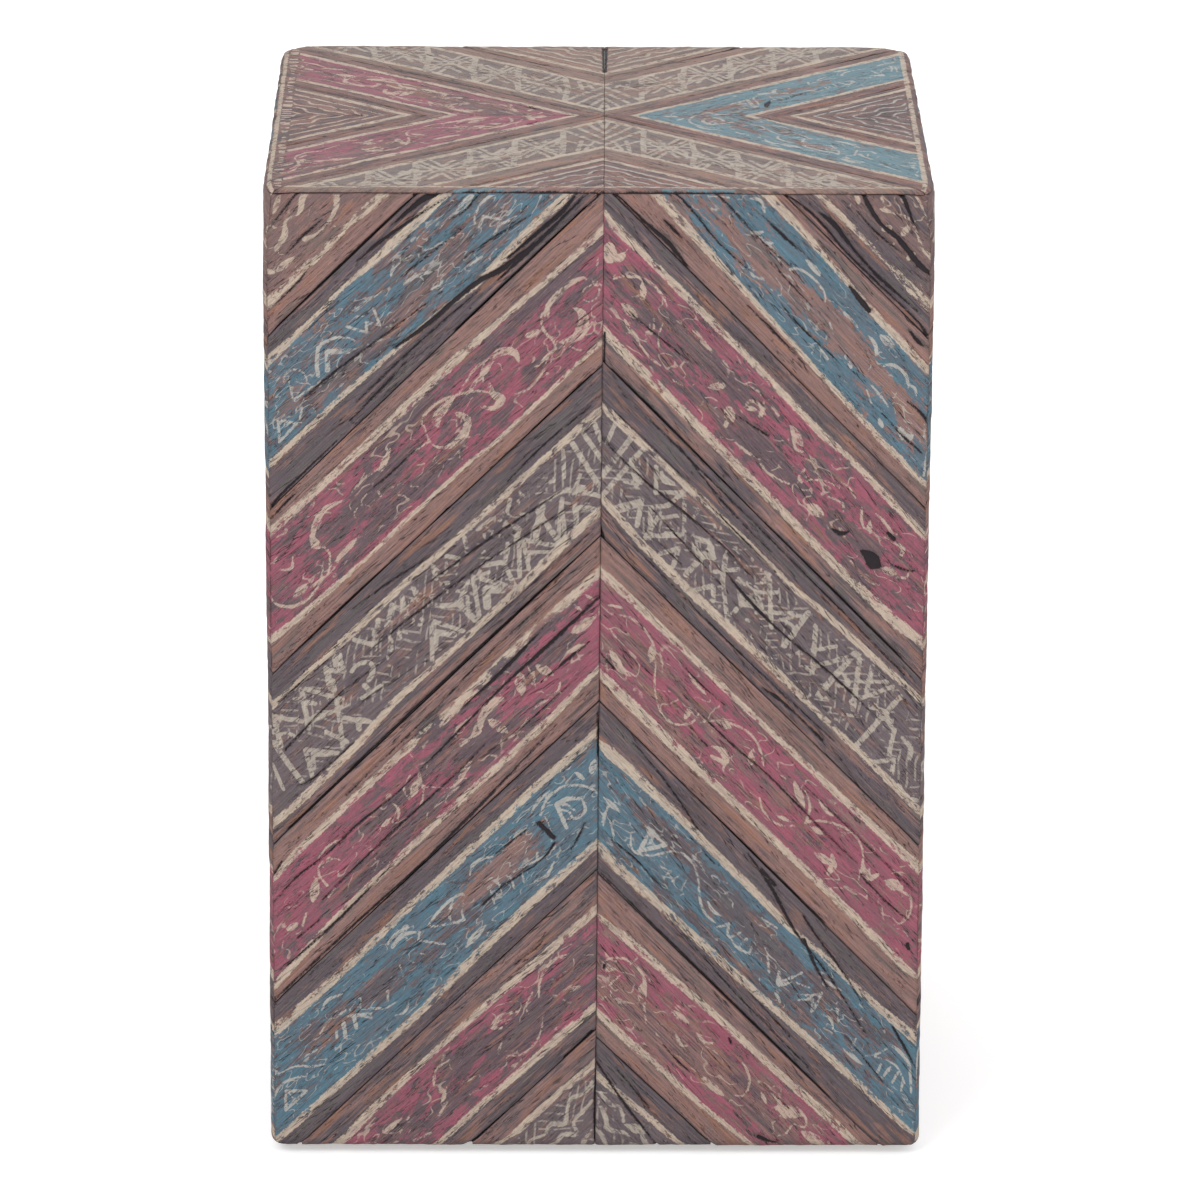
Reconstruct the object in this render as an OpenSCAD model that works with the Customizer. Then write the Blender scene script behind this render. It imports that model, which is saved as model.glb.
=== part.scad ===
// Chevron block side table: a hollow plywood box on corner posts, clad on four sides and
// on top with slanted painted boards that are mitred at every outside edge.
// Frame: +Z up, origin on the floor under the middle of the block, the front faces -Y.

/* [Block] */
// Width of the finished block, left to right
block_w = 356; // [320:1:420]
// Depth of the finished block, front to back
block_d = 356; // [320:1:420]
// Height from the floor to the table surface
block_h = 540; // [440:1:640]
// Radius worn on the four upright edges
corner_r = 8; // [4:0.5:10]
// Radius worn round the edge of the table surface
top_r = 5; // [2:0.5:8]
// Radius worn on the lower ends of the side boards
base_r = 6; // [2:0.5:9]

/* [Side boards] */
// Thickness of every cladding board
board_t = 12; // [10:0.5:16]
// Open joint between neighbouring boards
joint = 0.5; // [0.3:0.1:0.8]
// Full chevrons on a side, between the table surface and the foot row
full_chevrons = 5; // [4:1:7]
// Height of a chevron's point above its ends at the upright edges
chevron_rise = 174; // [140:1:200]
// How far the first chevron's point passes above the table surface
first_rise = 0; // [0:0.5:10]
// Height of the foot row, measured at its point
foot_row_h = 67; // [40:1:90]
// Plain margin between a side board's upper edge and its painted band
side_margin = 11; // [8:0.5:13]
// Width of a side board's painted band, over both border lines
side_band = 46.5; // [36:0.5:48]

/* [Top boards] */
// Width of a board beside a diagonal
top_board_w = 67; // [60:1:76]
// Plain margin between the diagonal and the painted band
top_margin = 7.5; // [5:0.5:9]
// Width of a top board's painted band, over both border lines
top_band = 50; // [40:0.5:51]
// Plain margin of the end board before its border line
end_margin = 7; // [5:0.5:16]

/* [Border lines] */
// Width of the scored line along each edge of a painted band
border_w = 4.2; // [2:0.1:6]
// Depth to which the border lines are scored
border_depth = 0.4; // [0.2:0.1:1]

/* [Carcass] */
// Thickness of the plywood walls
wall_t = 12; // [9:0.5:15]
// Thickness of the plywood deck under the top boards
deck_t = 12; // [9:0.5:18]
// Thickness of the plywood base panel
base_t = 12; // [9:0.5:18]
// Section of the square corner posts
post_w = 30; // [26:1:40]
// Section of the square cleats that carry the base panel
cleat_w = 20; // [18:1:26]

/* [Fasteners and glides] */
// Shank diameter of the wood screws
screw_d = 4; // [3:0.5:5]
// Head diameter of the wood screws
screw_head = 8; // [7:0.5:9]
// Length of the screws into the posts
post_screw_l = 32; // [28:1:36]
// Length of the screws into the cleats
cleat_screw_l = 25; // [22:1:28]
// Screws along each post in each wall
wall_screws = 4; // [3:1:6]
// Height of the lowest wall screw above the base panel
screw_rise = 60; // [50:1:90]
// Distance between the two screws in a cleat
cleat_screw_gap = 160; // [100:5:180]
// Diameter of a nail-on glide
glide_d = 24; // [20:1:28]
// Height of a glide, which lifts the block off the floor
glide_h = 4; // [3:0.5:6]
// Diameter of a glide's nail
nail_d = 2.2; // [1.8:0.1:3]
// Length of a glide's nail above the glide's recess
nail_l = 20; // [17:1:24]

/* [Hidden] */
$fn = 64;
bore_gap = 0.05;      // radial room round a screw or nail
glide_edge = 1.2;     // chamfer round a glide's foot
nail_head_d = 5;
nail_head_t = 1;
nail_recess = 1.5;    // how far the nail head sits up inside the glide
over = 5;             // how far cutting shapes run past what they cut

red = [0.56, 0.27, 0.34];
blue = [0.33, 0.5, 0.58];
grey = [0.4, 0.35, 0.35];
brown = [0.5, 0.38, 0.33];
ply = [0.78, 0.66, 0.48];
pine = [0.85, 0.72, 0.5];
steel = [0.7, 0.7, 0.72];
nylon = [0.25, 0.2, 0.18];

pitch = (block_h - glide_h + first_rise - foot_row_h) / full_chevrons;  // along an upright line
inner_w = block_w - 2 * board_t;             // over the plywood walls
inner_d = block_d - 2 * board_t;
room_w = inner_w - 2 * wall_t;               // between the plywood walls
room_d = inner_d - 2 * wall_t;
deck_z = block_h - board_t - deck_t;         // underside of the deck
floor_z = glide_h + base_t;                  // upper face of the base panel
post_x = room_w / 2 - post_w / 2;
post_y = room_d / 2 - post_w / 2;
top_slope = atan2(block_d, block_w);         // the diagonal of the table surface
mitre_gap = joint / sqrt(2);                 // a mitred end steps back by this along its face
screw_head_h = (screw_head - screw_d) / 2;
screw_step = (deck_z - floor_z - 2 * screw_rise) / (wall_screws - 1);
screw_shift = 2.5 * screw_d;                 // side wall screws pass above the front ones

// Rows are counted from the first full chevron, which is row 1: row 0 and the negative ones
// fill the upper corners of a face, and the last one is the foot row. A face of any width has
// the same points and ends, so the bands meet at the upright edges: only their slope differs.
first_row = 1 - ceil((chevron_rise - first_rise) / pitch);
foot_row = full_chevrons + 1;
function side_slope(width) = atan2(chevron_rise, width / 2);
// Height at which a row's upper joint meets the seam in the middle of its face
function seam_z(row) = block_h + first_rise - (row - 1) * pitch;
function side_board_w(width) = pitch * cos(side_slope(width));

// The finish of a row, by its order down the face
finishes = [red, grey, red, blue, red, grey];
corner_finishes = [blue, brown];
function row_finish(row) =
    row > 0 ? finishes[(row - 1) % len(finishes)] : corner_finishes[-row % len(corner_finishes)];

SIDES = ["front", "back", "left", "right"];
SECTORS = ["front", "back", "left", "right"];
function side_width(side) = side == "front" || side == "back" ? block_w : block_d;
function row_name(side, row) =
    row > 0 ? str(side, "_chevron_", row) : str(side, "_corner_", 1 - row);
function top_name(sector, order) = str("top_", sector, order == 0 ? "_band_boards" : "_end_boards");

// Outline shapes

// Upright prism of the block's plan, with its four worn corners
module plan_prism() {
    linear_extrude(block_h)
        union() {
            square([block_w - 2 * corner_r, block_d], center = true);
            square([block_w, block_d - 2 * corner_r], center = true);
            for (x = [-1, 1], y = [-1, 1])
                translate([x * (block_w / 2 - corner_r), y * (block_d / 2 - corner_r)])
                    circle(corner_r);
        }
}

// Section of the block across one direction: worn at the surface and at the boards' lower ends
module upright_section(width) {
    half = width / 2;
    union() {
        translate([-half + top_r, glide_h + base_r])
            square([width - 2 * top_r, block_h - glide_h - base_r]);
        translate([-half, glide_h + base_r])
            square([width, block_h - glide_h - base_r - top_r]);
        translate([-half + base_r, glide_h])
            square([width - 2 * base_r, block_h - glide_h - top_r]);
        for (x = [-1, 1]) {
            translate([x * (half - top_r), block_h - top_r])
                circle(top_r);
            translate([x * (half - base_r), glide_h + base_r])
                circle(base_r);
        }
    }
}

// The whole worn outline of the block
module worn_block() {
    intersection() {
        plan_prism();
        rotate([90, 0, 0])
            linear_extrude(block_d, center = true)
                upright_section(block_w);
        rotate([90, 0, 90])
            linear_extrude(block_w, center = true)
                upright_section(block_d);
    }
}

// Turns what is drawn for the front face, at y = 0 and inwards to +y, onto one of the sides
module on_side(side) {
    turn = side == "front" ? 0 : side == "right" ? 90 : side == "back" ? 180 : 270;
    reach = side == "front" || side == "back" ? block_d / 2 : block_w / 2;
    rotate([0, 0, turn])
        translate([0, -reach, 0])
            children();
}

// The slab of one side: as thick as a board, mitred at both upright edges and at the top
module mitred_side(width) {
    outer = width / 2 - mitre_gap;
    intersection() {
        linear_extrude(block_h + over)
            polygon([
                [-outer, 0], [outer, 0], [outer - board_t, board_t], [-outer + board_t, board_t]
            ]);
        rotate([90, 0, 90])
            linear_extrude(width, center = true)
                polygon([
                    [0, glide_h], [board_t, glide_h],
                    [board_t, block_h - board_t - mitre_gap], [0, block_h - mitre_gap]
                ]);
    }
}

// The slab of the table surface, mitred all round
module mitred_top() {
    intersection() {
        rotate([90, 0, 0])
            linear_extrude(block_d, center = true)
                mitred_section(block_w);
        rotate([90, 0, 90])
            linear_extrude(block_w, center = true)
                mitred_section(block_d);
    }
}

module mitred_section(width) {
    outer = width / 2 - mitre_gap;
    polygon([
        [-outer, block_h], [outer, block_h],
        [outer - board_t, block_h - board_t], [-outer + board_t, block_h - board_t]
    ]);
}

// Side boards

// The part of the right half of a face that lies from `from` to `to` below a row's joint
module sloping_strip(width, row, from, to) {
    slope = side_slope(width);
    near = joint / 2;
    reach = width / 2 + over;
    near_z = seam_z(row) - near * tan(slope);
    far_z = seam_z(row) - reach * tan(slope);
    polygon([
        [near, near_z - from / cos(slope)], [reach, far_z - from / cos(slope)],
        [reach, far_z - to / cos(slope)], [near, near_z - to / cos(slope)]
    ]);
}

module through_face(depth) {
    rotate([90, 0, 0])
        translate([0, 0, -depth])
            linear_extrude(depth + over)
                children();
}

// The right-hand board of a row, with its two border lines
module side_board(width, row) {
    difference() {
        intersection() {
            mitred_side(width);
            through_face(board_t + over)
                sloping_strip(width, row, joint / 2, side_board_w(width) - joint / 2);
        }
        for (line = [side_margin, side_margin + side_band - border_w])
            through_face(border_depth)
                sloping_strip(width, row, line, line + border_w);
    }
}

module chevron(side, row) {
    width = side_width(side);
    color(row_finish(row))
        intersection() {
            on_side(side)
                for (hand = [0, 1])
                    mirror([hand, 0, 0])
                        side_board(width, row);
            worn_block();
        }
}

// Top boards

// In the quarter of the surface at +x +y: the strip beside the diagonal that lies from `from`
// to `to` away from it, towards +y where bank is 1 and towards +x where bank is -1
module diagonal_strip(bank, from, to) {
    intersection() {
        translate([joint / 2, joint / 2])
            square([block_w / 2, block_d / 2]);
        rotate(top_slope)
            translate([0, bank > 0 ? from : -to])
                square([block_w + block_d, to - from]);
    }
}

module top_board(bank, order) {
    from = order == 0 ? joint / 2 : top_board_w + joint / 2;
    to = order == 0 ? top_board_w - joint / 2 : block_w + block_d;
    lines = order == 0 ? [top_margin, top_margin + top_band - border_w] : [top_board_w + end_margin];
    difference() {
        translate([0, 0, block_h - board_t - over])
            linear_extrude(board_t + 2 * over)
                diagonal_strip(bank, from, to);
        for (line = lines)
            translate([0, 0, block_h - border_depth])
                linear_extrude(2 * over)
                    diagonal_strip(bank, line, line + border_w);
    }
}

// The two boards of a sector, which mirror each other across its middle
module sector_boards(sector, order) {
    across = sector == "left" || sector == "right";
    turned = sector == "front" || sector == "left" ? 1 : 0;
    mirror(across ? [turned, 0, 0] : [0, turned, 0])
        for (hand = [0, 1])
            mirror(across ? [0, hand, 0] : [hand, 0, 0])
                top_board(across ? -1 : 1, order);
}

module top_boards(sector, order) {
    finish = order == 1 ? grey : sector == "left" ? red : sector == "right" ? blue : grey;
    color(finish)
        intersection() {
            sector_boards(sector, order);
            mitred_top();
            worn_block();
        }
}

// Carcass

module screw(length) {
    translate([0, 0, -length])
        cylinder(d = screw_d, h = length);
    translate([0, 0, -screw_head_h])
        cylinder(d1 = screw_d, d2 = screw_head, h = screw_head_h);
}

module screw_bore(length) {
    translate([0, 0, -length - bore_gap])
        cylinder(d = screw_d + 2 * bore_gap, h = length + 2 * bore_gap);
    translate([0, 0, -screw_head_h])
        cylinder(d1 = screw_d + 2 * bore_gap, d2 = screw_head + 2 * bore_gap, h = screw_head_h);
    cylinder(d = screw_head + 2 * bore_gap, h = over);
}

// Places along the posts where the front and back walls are screwed, then the side walls
module at_front_screws() {
    for (x = [-1, 1], y = [-1, 1], i = [0 : wall_screws - 1])
        translate([x * post_x, y * inner_d / 2, floor_z + screw_rise + i * screw_step])
            rotate([-90 * y, 0, 0])
                children();
}

module at_side_screws() {
    for (x = [-1, 1], y = [-1, 1], i = [0 : wall_screws - 1])
        translate([x * inner_w / 2, y * post_y, floor_z + screw_rise + i * screw_step + screw_shift])
            rotate([0, 90 * x, 0])
                children();
}

module at_deck_screws() {
    for (x = [-1, 1], y = [-1, 1])
        translate([x * post_x, y * post_y, block_h - board_t])
            children();
}

module at_cleat_screws() {
    for (along = [-1, 1], side = [-1, 1]) {
        translate([along * cleat_screw_gap / 2, side * (room_d - cleat_w) / 2, glide_h])
            rotate([180, 0, 0])
                children();
        translate([side * (room_w - cleat_w) / 2, along * cleat_screw_gap / 2, glide_h])
            rotate([180, 0, 0])
                children();
    }
}

// Where corner post and glide number i stand, seen from above: 1 and 2 in front, 3 and 4 behind
function corner(i) = [i % 2 == 1 ? -1 : 1, i <= 2 ? -1 : 1];

module front_wall_board(y) {
    color(ply)
        difference() {
            translate([-inner_w / 2, y > 0 ? inner_d / 2 - wall_t : -inner_d / 2, glide_h])
                cube([inner_w, wall_t, deck_z - glide_h]);
            at_front_screws() screw_bore(post_screw_l);
        }
}

module side_wall_board(x) {
    color(ply)
        difference() {
            translate([x > 0 ? inner_w / 2 - wall_t : -inner_w / 2, -room_d / 2, glide_h])
                cube([wall_t, room_d, deck_z - glide_h]);
            at_side_screws() screw_bore(post_screw_l);
        }
}

module deck() {
    color(ply)
        difference() {
            translate([-inner_w / 2, -inner_d / 2, deck_z])
                cube([inner_w, inner_d, deck_t]);
            at_deck_screws() screw_bore(post_screw_l);
        }
}

module base_panel() {
    color(ply)
        difference() {
            translate([-room_w / 2, -room_d / 2, glide_h])
                cube([room_w, room_d, base_t]);
            at_cleat_screws() screw_bore(cleat_screw_l);
            at_glides() nail_bore();
        }
}

module corner_post(i) {
    color(pine)
        difference() {
            translate([corner(i)[0] * post_x - post_w / 2, corner(i)[1] * post_y - post_w / 2, floor_z])
                cube([post_w, post_w, deck_z - floor_z]);
            at_front_screws() screw_bore(post_screw_l);
            at_side_screws() screw_bore(post_screw_l);
            at_deck_screws() screw_bore(post_screw_l);
            at_glides() nail_bore();
        }
}

module base_cleats() {
    color(pine)
        difference() {
            for (side = [-1, 1]) {
                translate([-room_w / 2 + post_w, side * (room_d - cleat_w) / 2 - cleat_w / 2, floor_z])
                    cube([room_w - 2 * post_w, cleat_w, cleat_w]);
                translate([side * (room_w - cleat_w) / 2 - cleat_w / 2, -room_d / 2 + post_w, floor_z])
                    cube([cleat_w, room_d - 2 * post_w, cleat_w]);
            }
            at_cleat_screws() screw_bore(cleat_screw_l);
        }
}

// Glides

module at_glides() {
    for (i = [1 : 4])
        translate([corner(i)[0] * post_x, corner(i)[1] * post_y, 0])
            children();
}

module nail() {
    translate([0, 0, nail_recess])
        cylinder(d = nail_head_d, h = nail_head_t);
    translate([0, 0, nail_recess])
        cylinder(d = nail_d, h = nail_l);
}

module nail_bore() {
    cylinder(d = nail_d + 2 * bore_gap, h = nail_recess + nail_l + bore_gap);
}

module glide(i) {
    color(nylon)
        translate([corner(i)[0] * post_x, corner(i)[1] * post_y, 0])
            difference() {
                union() {
                    cylinder(d1 = glide_d - 2 * glide_edge, d2 = glide_d, h = glide_edge);
                    translate([0, 0, glide_edge])
                        cylinder(d = glide_d, h = glide_h - glide_edge);
                }
                translate([0, 0, -over])
                    cylinder(d = nail_head_d + 2 * bore_gap, h = nail_recess + nail_head_t + over);
                nail_bore();
            }
}

// The pieces

for (side = SIDES)
    for (row = [first_row : foot_row])
        chevron(side, row);
for (sector = SECTORS)
    for (order = [0, 1])
        top_boards(sector, order);
front_wall_board(-1);  // front_wall
front_wall_board(1);  // back_wall
side_wall_board(-1);  // left_wall
side_wall_board(1);  // right_wall
deck();
base_panel();
for (i = [1 : 4])
    corner_post(i);
base_cleats();
color(steel) {  // wall_screws
    at_front_screws() screw(post_screw_l);
    at_side_screws() screw(post_screw_l);
}
color(steel) at_deck_screws() screw(post_screw_l);  // deck_screws
color(steel) at_cleat_screws() screw(cleat_screw_l);  // cleat_screws
for (i = [1 : 4])
    glide(i);
color(steel) at_glides() nail();  // glide_nails
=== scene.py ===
"""A square block side table clad in worn, painted chevron boards."""
import math

import bpy
import numpy as np
from bpy.props import FloatProperty, FloatVectorProperty, IntProperty, PointerProperty
from mathutils import Matrix, Vector


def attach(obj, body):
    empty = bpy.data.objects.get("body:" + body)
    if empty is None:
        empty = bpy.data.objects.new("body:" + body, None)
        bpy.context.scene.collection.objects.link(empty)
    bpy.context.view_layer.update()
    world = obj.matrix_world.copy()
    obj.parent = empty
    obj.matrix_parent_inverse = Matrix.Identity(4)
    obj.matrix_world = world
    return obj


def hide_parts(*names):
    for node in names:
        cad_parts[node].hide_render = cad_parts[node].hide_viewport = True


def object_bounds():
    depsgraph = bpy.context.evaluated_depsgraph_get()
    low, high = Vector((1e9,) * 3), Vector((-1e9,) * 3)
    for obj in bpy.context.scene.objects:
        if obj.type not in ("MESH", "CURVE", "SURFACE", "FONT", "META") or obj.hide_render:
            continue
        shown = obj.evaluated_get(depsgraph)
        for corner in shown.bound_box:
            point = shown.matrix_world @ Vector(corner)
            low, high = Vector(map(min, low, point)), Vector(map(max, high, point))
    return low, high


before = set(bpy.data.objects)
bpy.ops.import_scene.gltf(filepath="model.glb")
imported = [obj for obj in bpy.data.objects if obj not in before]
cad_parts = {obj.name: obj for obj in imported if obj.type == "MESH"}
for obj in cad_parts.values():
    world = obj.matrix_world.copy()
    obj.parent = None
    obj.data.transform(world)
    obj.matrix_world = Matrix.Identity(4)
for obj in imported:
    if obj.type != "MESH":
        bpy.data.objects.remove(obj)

bl_info = {
    "name": "Chevron Block Table",
    "version": (1, 0, 0),
    "blender": (4, 5, 0),
    "location": "3D View > Sidebar > Block Table",
    "description": "Dresses a square block table in worn, painted chevron boards",
    "category": "Add Mesh",
}

MM = 0.001
CAD_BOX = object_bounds()
HALF = round(CAD_BOX[1][0] / MM, 3)          # half the block's width, mm
TOP = round(CAD_BOX[1][2] / MM, 3)           # height of the table top, mm
LOW = TOP - 4.0                              # the boards' lower end, below the top
BOARD_T = 12.0
CORNER_R, TOP_R, BASE_R = 8.0, 5.0, 6.0      # worn rounds of the whole block
FOOT_ARC = BASE_R * math.pi / 2              # along the round at the boards' lower end
SLOPE = 174.0 / HALF                         # how steeply a board drops from seam to edge
FRONT_SLOPE = 0.98                           # the same on the front, before its joints' ends move
PITCH = 93.8                                 # one row to the next along the seam
BOARD_W = 67.0                               # a board across its grain
PAINTED = 255.0                              # how far chance spreads wear along a board
GAP = 0.22                                   # half an open joint
SEAM_GAP = 0.08                              # half the middle seam, nearly shut
DIAGONAL = math.sqrt(2)
MITRE_STEP = (1 - 1 / DIAGONAL) * TOP_R + SEAM_GAP / 2    # from the top's edge to its mitre
LEAST_W = 1.6                                # a board ends where it is narrower than this
CLEAR = 0.3                                  # between the hidden backs of mitred boards
FAR = 30.0                                   # a gap that means "nowhere near"
NEXT_BOARD = 3700.0                          # one board to the next in the noises' own space

SIDES = ("front", "right", "back", "left")
ROWS = ("corner_2", "corner_1") + tuple(f"chevron_{n}" for n in range(1, 7))
SIDE_PAINT = ("brown", "blue", "red", "grey", "red", "blue", "red", "grey")
TOP_PAINT = {"front": "grey", "right": "blue", "back": "grey", "left": "red"}

# Joint lines of the front, mm below the top at the seam and, less the slope, at the edge.
FRONT_JOINTS = {
    -1: ((-188.3, -185.6), (-94.5, -91.8), (0, 3.5), (95.3, 95.3), (189.3, 191),
         (281.3, 281.3), (376, 376), (467.5, 467.5), (563, 563)),
    1: ((-187.3, -184.8), (-93.5, -91), (-3, 2), (92.8, 97.5), (189.3, 191),
        (281.3, 287.5), (378.5, 382.5), (471.8, 470), (563, 563)),
}

# How the whole block has worn, mm: its sides draw in by TAPER at TAPER_END below the top, its top
# corners are knocked in by KNOCK and what lies within KNOCK_REACH by less, and at the top the
# seams of two sides lie off the middle.
TAPER, TAPER_END = 1.1, 320
KNOCK, KNOCK_REACH = 3.6, 20
SEAM_DRIFT = {"front": 2.6, "back": -5.2}

# The photograph's camera, fitted to the block's corners: metres, and radians to the right,
# down and about its own line of sight.
CAMERA_PLACE = (-0.027239, -4.425846, 1.558584)
CAMERA_YAW, CAMERA_PITCH, CAMERA_ROLL = 0.00674526, 0.28467142, 0.00440557

# Where each lamp hangs and the height on the block's axis that it looks at, its size and power.
LAMPS = {
    "key": ((-1.6, -2.6, 2.6), 0.3, 1.8, 59),
    "fill": ((2.4, -2.0, 1.6), 0.3, 1.8, 25),
    "rim": ((0.4, 2.6, 2.4), 0.4, 2.0, 28),
}


# Settings

def rgb(r, g, b):
    """A colour written as 0 to 255 on screen, as the linear value that nodes take."""
    return tuple(c / 12.92 if c <= 0.04045 else ((c + 0.055) / 1.055) ** 2.4
                 for c in (r / 255, g / 255, b / 255))


def colour_prop(name, text, value):
    return FloatVectorProperty(name=name, description=text, default=rgb(*value),
                               size=3, min=0, max=1, subtype="COLOR")


def length_prop(name, text, value):
    return FloatProperty(name=name, description=text, default=value * MM, min=0,
                         precision=5, unit="LENGTH")


class BoardColours(bpy.types.PropertyGroup):
    """The colours of the old wood, of what is left of its paint, and of the painted shade in its cracks.
    """
    dark_wood: colour_prop("Dark Wood", "Grey-brown bare wood", (94, 84, 89))
    warm_wood: colour_prop("Warm Wood", "Terracotta-brown bare wood", (140, 109, 103))
    red: colour_prop("Red", "Red paint", (153, 85, 101))
    blue: colour_prop("Blue", "Blue paint", (83, 115, 130))
    grey: colour_prop("Grey", "Grey-brown ground", (107, 95, 98))
    brown: colour_prop("Brown", "Brown ground", (122, 98, 95))
    cream: colour_prop("Cream", "Border lines and ornament", (200, 182, 163))
    # Crack is painted shade: the near-black inside of cracks, which also darkens the joint lines a
    # little.
    crack: colour_prop("Crack", "Inside of cracks and joints", (34, 27, 31))


class BoardSizes(bpy.types.PropertyGroup):
    """How finely the boards are cut up and how deep they are weathered."""
    front_step: length_prop("Front Step", "Grid step on the front and top", 0.95)
    side_step: length_prop("Side Step", "Grid step on the other sides", 1.3)
    hollow: length_prop("Hollow", "Depth of the gentle hollows", 0.6)
    grain: length_prop("Grain", "Depth of the raised grain", 0.25)
    crack: length_prop("Crack", "Depth of a drying crack", 1.1)
    arris: length_prop("Arris", "How far a board's edge is worn back", 0.7)
    seed: IntProperty(name="Seed", description="Seed of the weathering", default=7)


class StageSettings(bpy.types.PropertyGroup):
    """The floor's colour and the camera's lens."""
    floor: colour_prop("Floor", "Colour of the floor", (236, 236, 236))
    lens: FloatProperty(name="Lens", description="Focal length in millimetres",
                        default=248.766, min=1)


# Node helpers

class Net:
    """Adds nodes to a tree; a socket is linked and anything else is set as a value."""

    def __init__(self, tree):
        self.tree = tree

    def put(self, kind, ins=(), out=0, **settings):
        """Adds a node, feeds its inputs and returns one output, or the node where out is None."""
        node = self.tree.nodes.new(kind)
        for key, value in settings.items():
            setattr(node, key, value)
        for key, value in (ins.items() if isinstance(ins, dict) else enumerate(ins)):
            self.feed(value, node.inputs[key])
        return node if out is None else node.outputs[out]

    def feed(self, value, socket):
        if isinstance(value, bpy.types.NodeSocket):
            self.tree.links.new(value, socket)
        elif socket.type == "RGBA" and len(value) == 3:
            socket.default_value = (*value, 1)
        else:
            socket.default_value = value

    def math(self, operation, first, *others):
        """Applies the operation to the values, from the first one on."""
        if not others:
            return self.put("ShaderNodeMath", (first,), operation=operation)
        for other in others:
            first = self.put("ShaderNodeMath", (first, other), operation=operation)
        return first

    def add(self, *values):
        return self.math("ADD", *values)

    def times(self, *values):
        return self.math("MULTIPLY", *values)

    def most(self, *values):
        return self.math("MAXIMUM", *values)

    def step(self, value, low, high, to_low=0.0, to_high=1.0):
        """Eases from to_low to to_high while value goes from low to high."""
        return self.put("ShaderNodeMapRange", (value, low, high, to_low, to_high),
                        interpolation_type="SMOOTHSTEP")

    def ramp(self, value, low, high, to_low=0.0, to_high=1.0):
        return self.put("ShaderNodeMapRange", (value, low, high, to_low, to_high))

    def veins(self, value, outer, inner):
        """Thin lines where the value passes one half."""
        return self.step(self.math("ABSOLUTE", self.add(value, -0.5)), outer, inner)

    def blend(self, share, a, b, how="MIX"):
        node = self.put("ShaderNodeMix", out=None, data_type="RGBA", blend_type=how)
        for socket, value in zip((0, 6, 7), (share, a, b)):
            self.feed(value, node.inputs[socket])
        return node.outputs[2]

    def shade(self, colour, value, low, high):
        """Multiplies a colour by low to high while value goes from 0.3 to 0.7."""
        return self.blend(1.0, colour, self.ramp(value, 0.3, 0.7, low, high), "MULTIPLY")

    def noise(self, place, size, detail=3.0, rough=0.5, turn=0.0, shift=0.0, warp=0.0):
        """Noise whose features are size mm along, across and, for a solid, up."""
        if len(size) == 2:
            size = (*size, 1e3)
        if turn:
            place = self.put("ShaderNodeVectorRotate", {
                "Vector": place, "Angle": math.radians(turn)}, rotation_type="Z_AXIS")
        scaled = self.put("ShaderNodeVectorMath", (
            place, tuple(1 / s for s in size), (shift, shift * 0.37, shift * 0.11)),
            operation="MULTIPLY_ADD")
        return self.put("ShaderNodeTexNoise", {
            "Vector": scaled, "Scale": 1.0, "Detail": detail, "Roughness": rough,
            "Distortion": warp})

    def split(self, vector):
        return self.put("ShaderNodeSeparateXYZ", (vector,), out=None).outputs

    def named(self, name, kind="FLOAT_VECTOR"):
        """A named value of the points, in a geometry tree."""
        return self.put("GeometryNodeInputNamedAttribute", {"Name": name}, data_type=kind)

    def attribute(self, name, out="Vector"):
        """A named value of the points, in a material."""
        return self.put("ShaderNodeAttribute", out=out, attribute_name=name)

    def in_mm(self):
        """Object coordinates in millimetres."""
        place = self.put("ShaderNodeTexCoord", out="Object")
        return self.put("ShaderNodeVectorMath", {"Vector": place, "Scale": 1 / MM}, operation="SCALE")

    def shown(self):
        """1 for the rays that show a thing itself, and 0 for those that only light others."""
        ray = self.put("ShaderNodeLightPath", out=None).outputs
        return self.most(*(ray[f"Is {kind} Ray"] for kind in ("Camera", "Glossy", "Transmission")))


SURFACE = {"colour": "Base Color", "rough": "Roughness", "shine": "Specular IOR Level",
           "metal": "Metallic", "normal": "Normal"}


class Finish(Net):
    """The net of a new material with a principled surface."""

    def __init__(self, name):
        self.material = bpy.data.materials.new(name)
        self.material.use_nodes = True
        super().__init__(self.material.node_tree)
        self.surface = self.tree.nodes["Principled BSDF"]

    def cover(self, **values):
        """Feeds the surface's colour, rough, shine, metal or normal."""
        for name, value in values.items():
            self.feed(value, self.surface.inputs[SURFACE[name]])

    def bump(self, height, strength, depth):
        """Raises the surface by at most depth mm."""
        self.cover(normal=self.put("ShaderNodeBump", {
            "Strength": strength, "Distance": depth * MM, "Height": height}))


# Painted ornament
# A stroke is a list of (u, v, width) in mm: u along the board from its seam end, v across
# it from its upper joint.

def bend(*points):
    """A smooth curve through the points, 1 mm wide where a point gives no width."""
    points = [(*point, 1)[:3] for point in points]
    if len(points) < 3:
        return points
    p = np.array([points[0], *points, points[-1]], float)
    t = np.linspace(0, 1, 4, endpoint=False)[:, None]
    curve = []
    for a, b, c, d in zip(p, p[1:], p[2:], p[3:]):
        curve.append(0.5 * (2 * b + (c - a) * t + (2 * a - 5 * b + 4 * c - d) * t ** 2
                            + (3 * b - a - 3 * c + d) * t ** 3))
    return np.vstack(curve + [p[-1:]])


def arc(u, v, ru, rv, start, end, w0=1.0, w1=1.0, mid=None):
    """Part of an ellipse; 0 degrees is outward along the board and 90 is down."""
    t = np.linspace(0, 1, 4 + int(abs(end - start) / 22))
    turn = np.radians(start + (end - start) * t)
    width = w0 + (w1 - w0) * t
    if mid is not None:
        width = width + (mid - (w0 + w1) / 2) * 4 * t * (1 - t)
    return np.column_stack((u + ru * np.cos(turn), v + rv * np.sin(turn), width))


def bar(u0, v0, u1, v1, w=1.5):
    return [(u0, v0, w), (u1, v1, w)]


def chain(points, w=1.4, closed=False):
    points = [(u, v, w) for u, v in points]
    return points + points[:1] if closed else points


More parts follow.
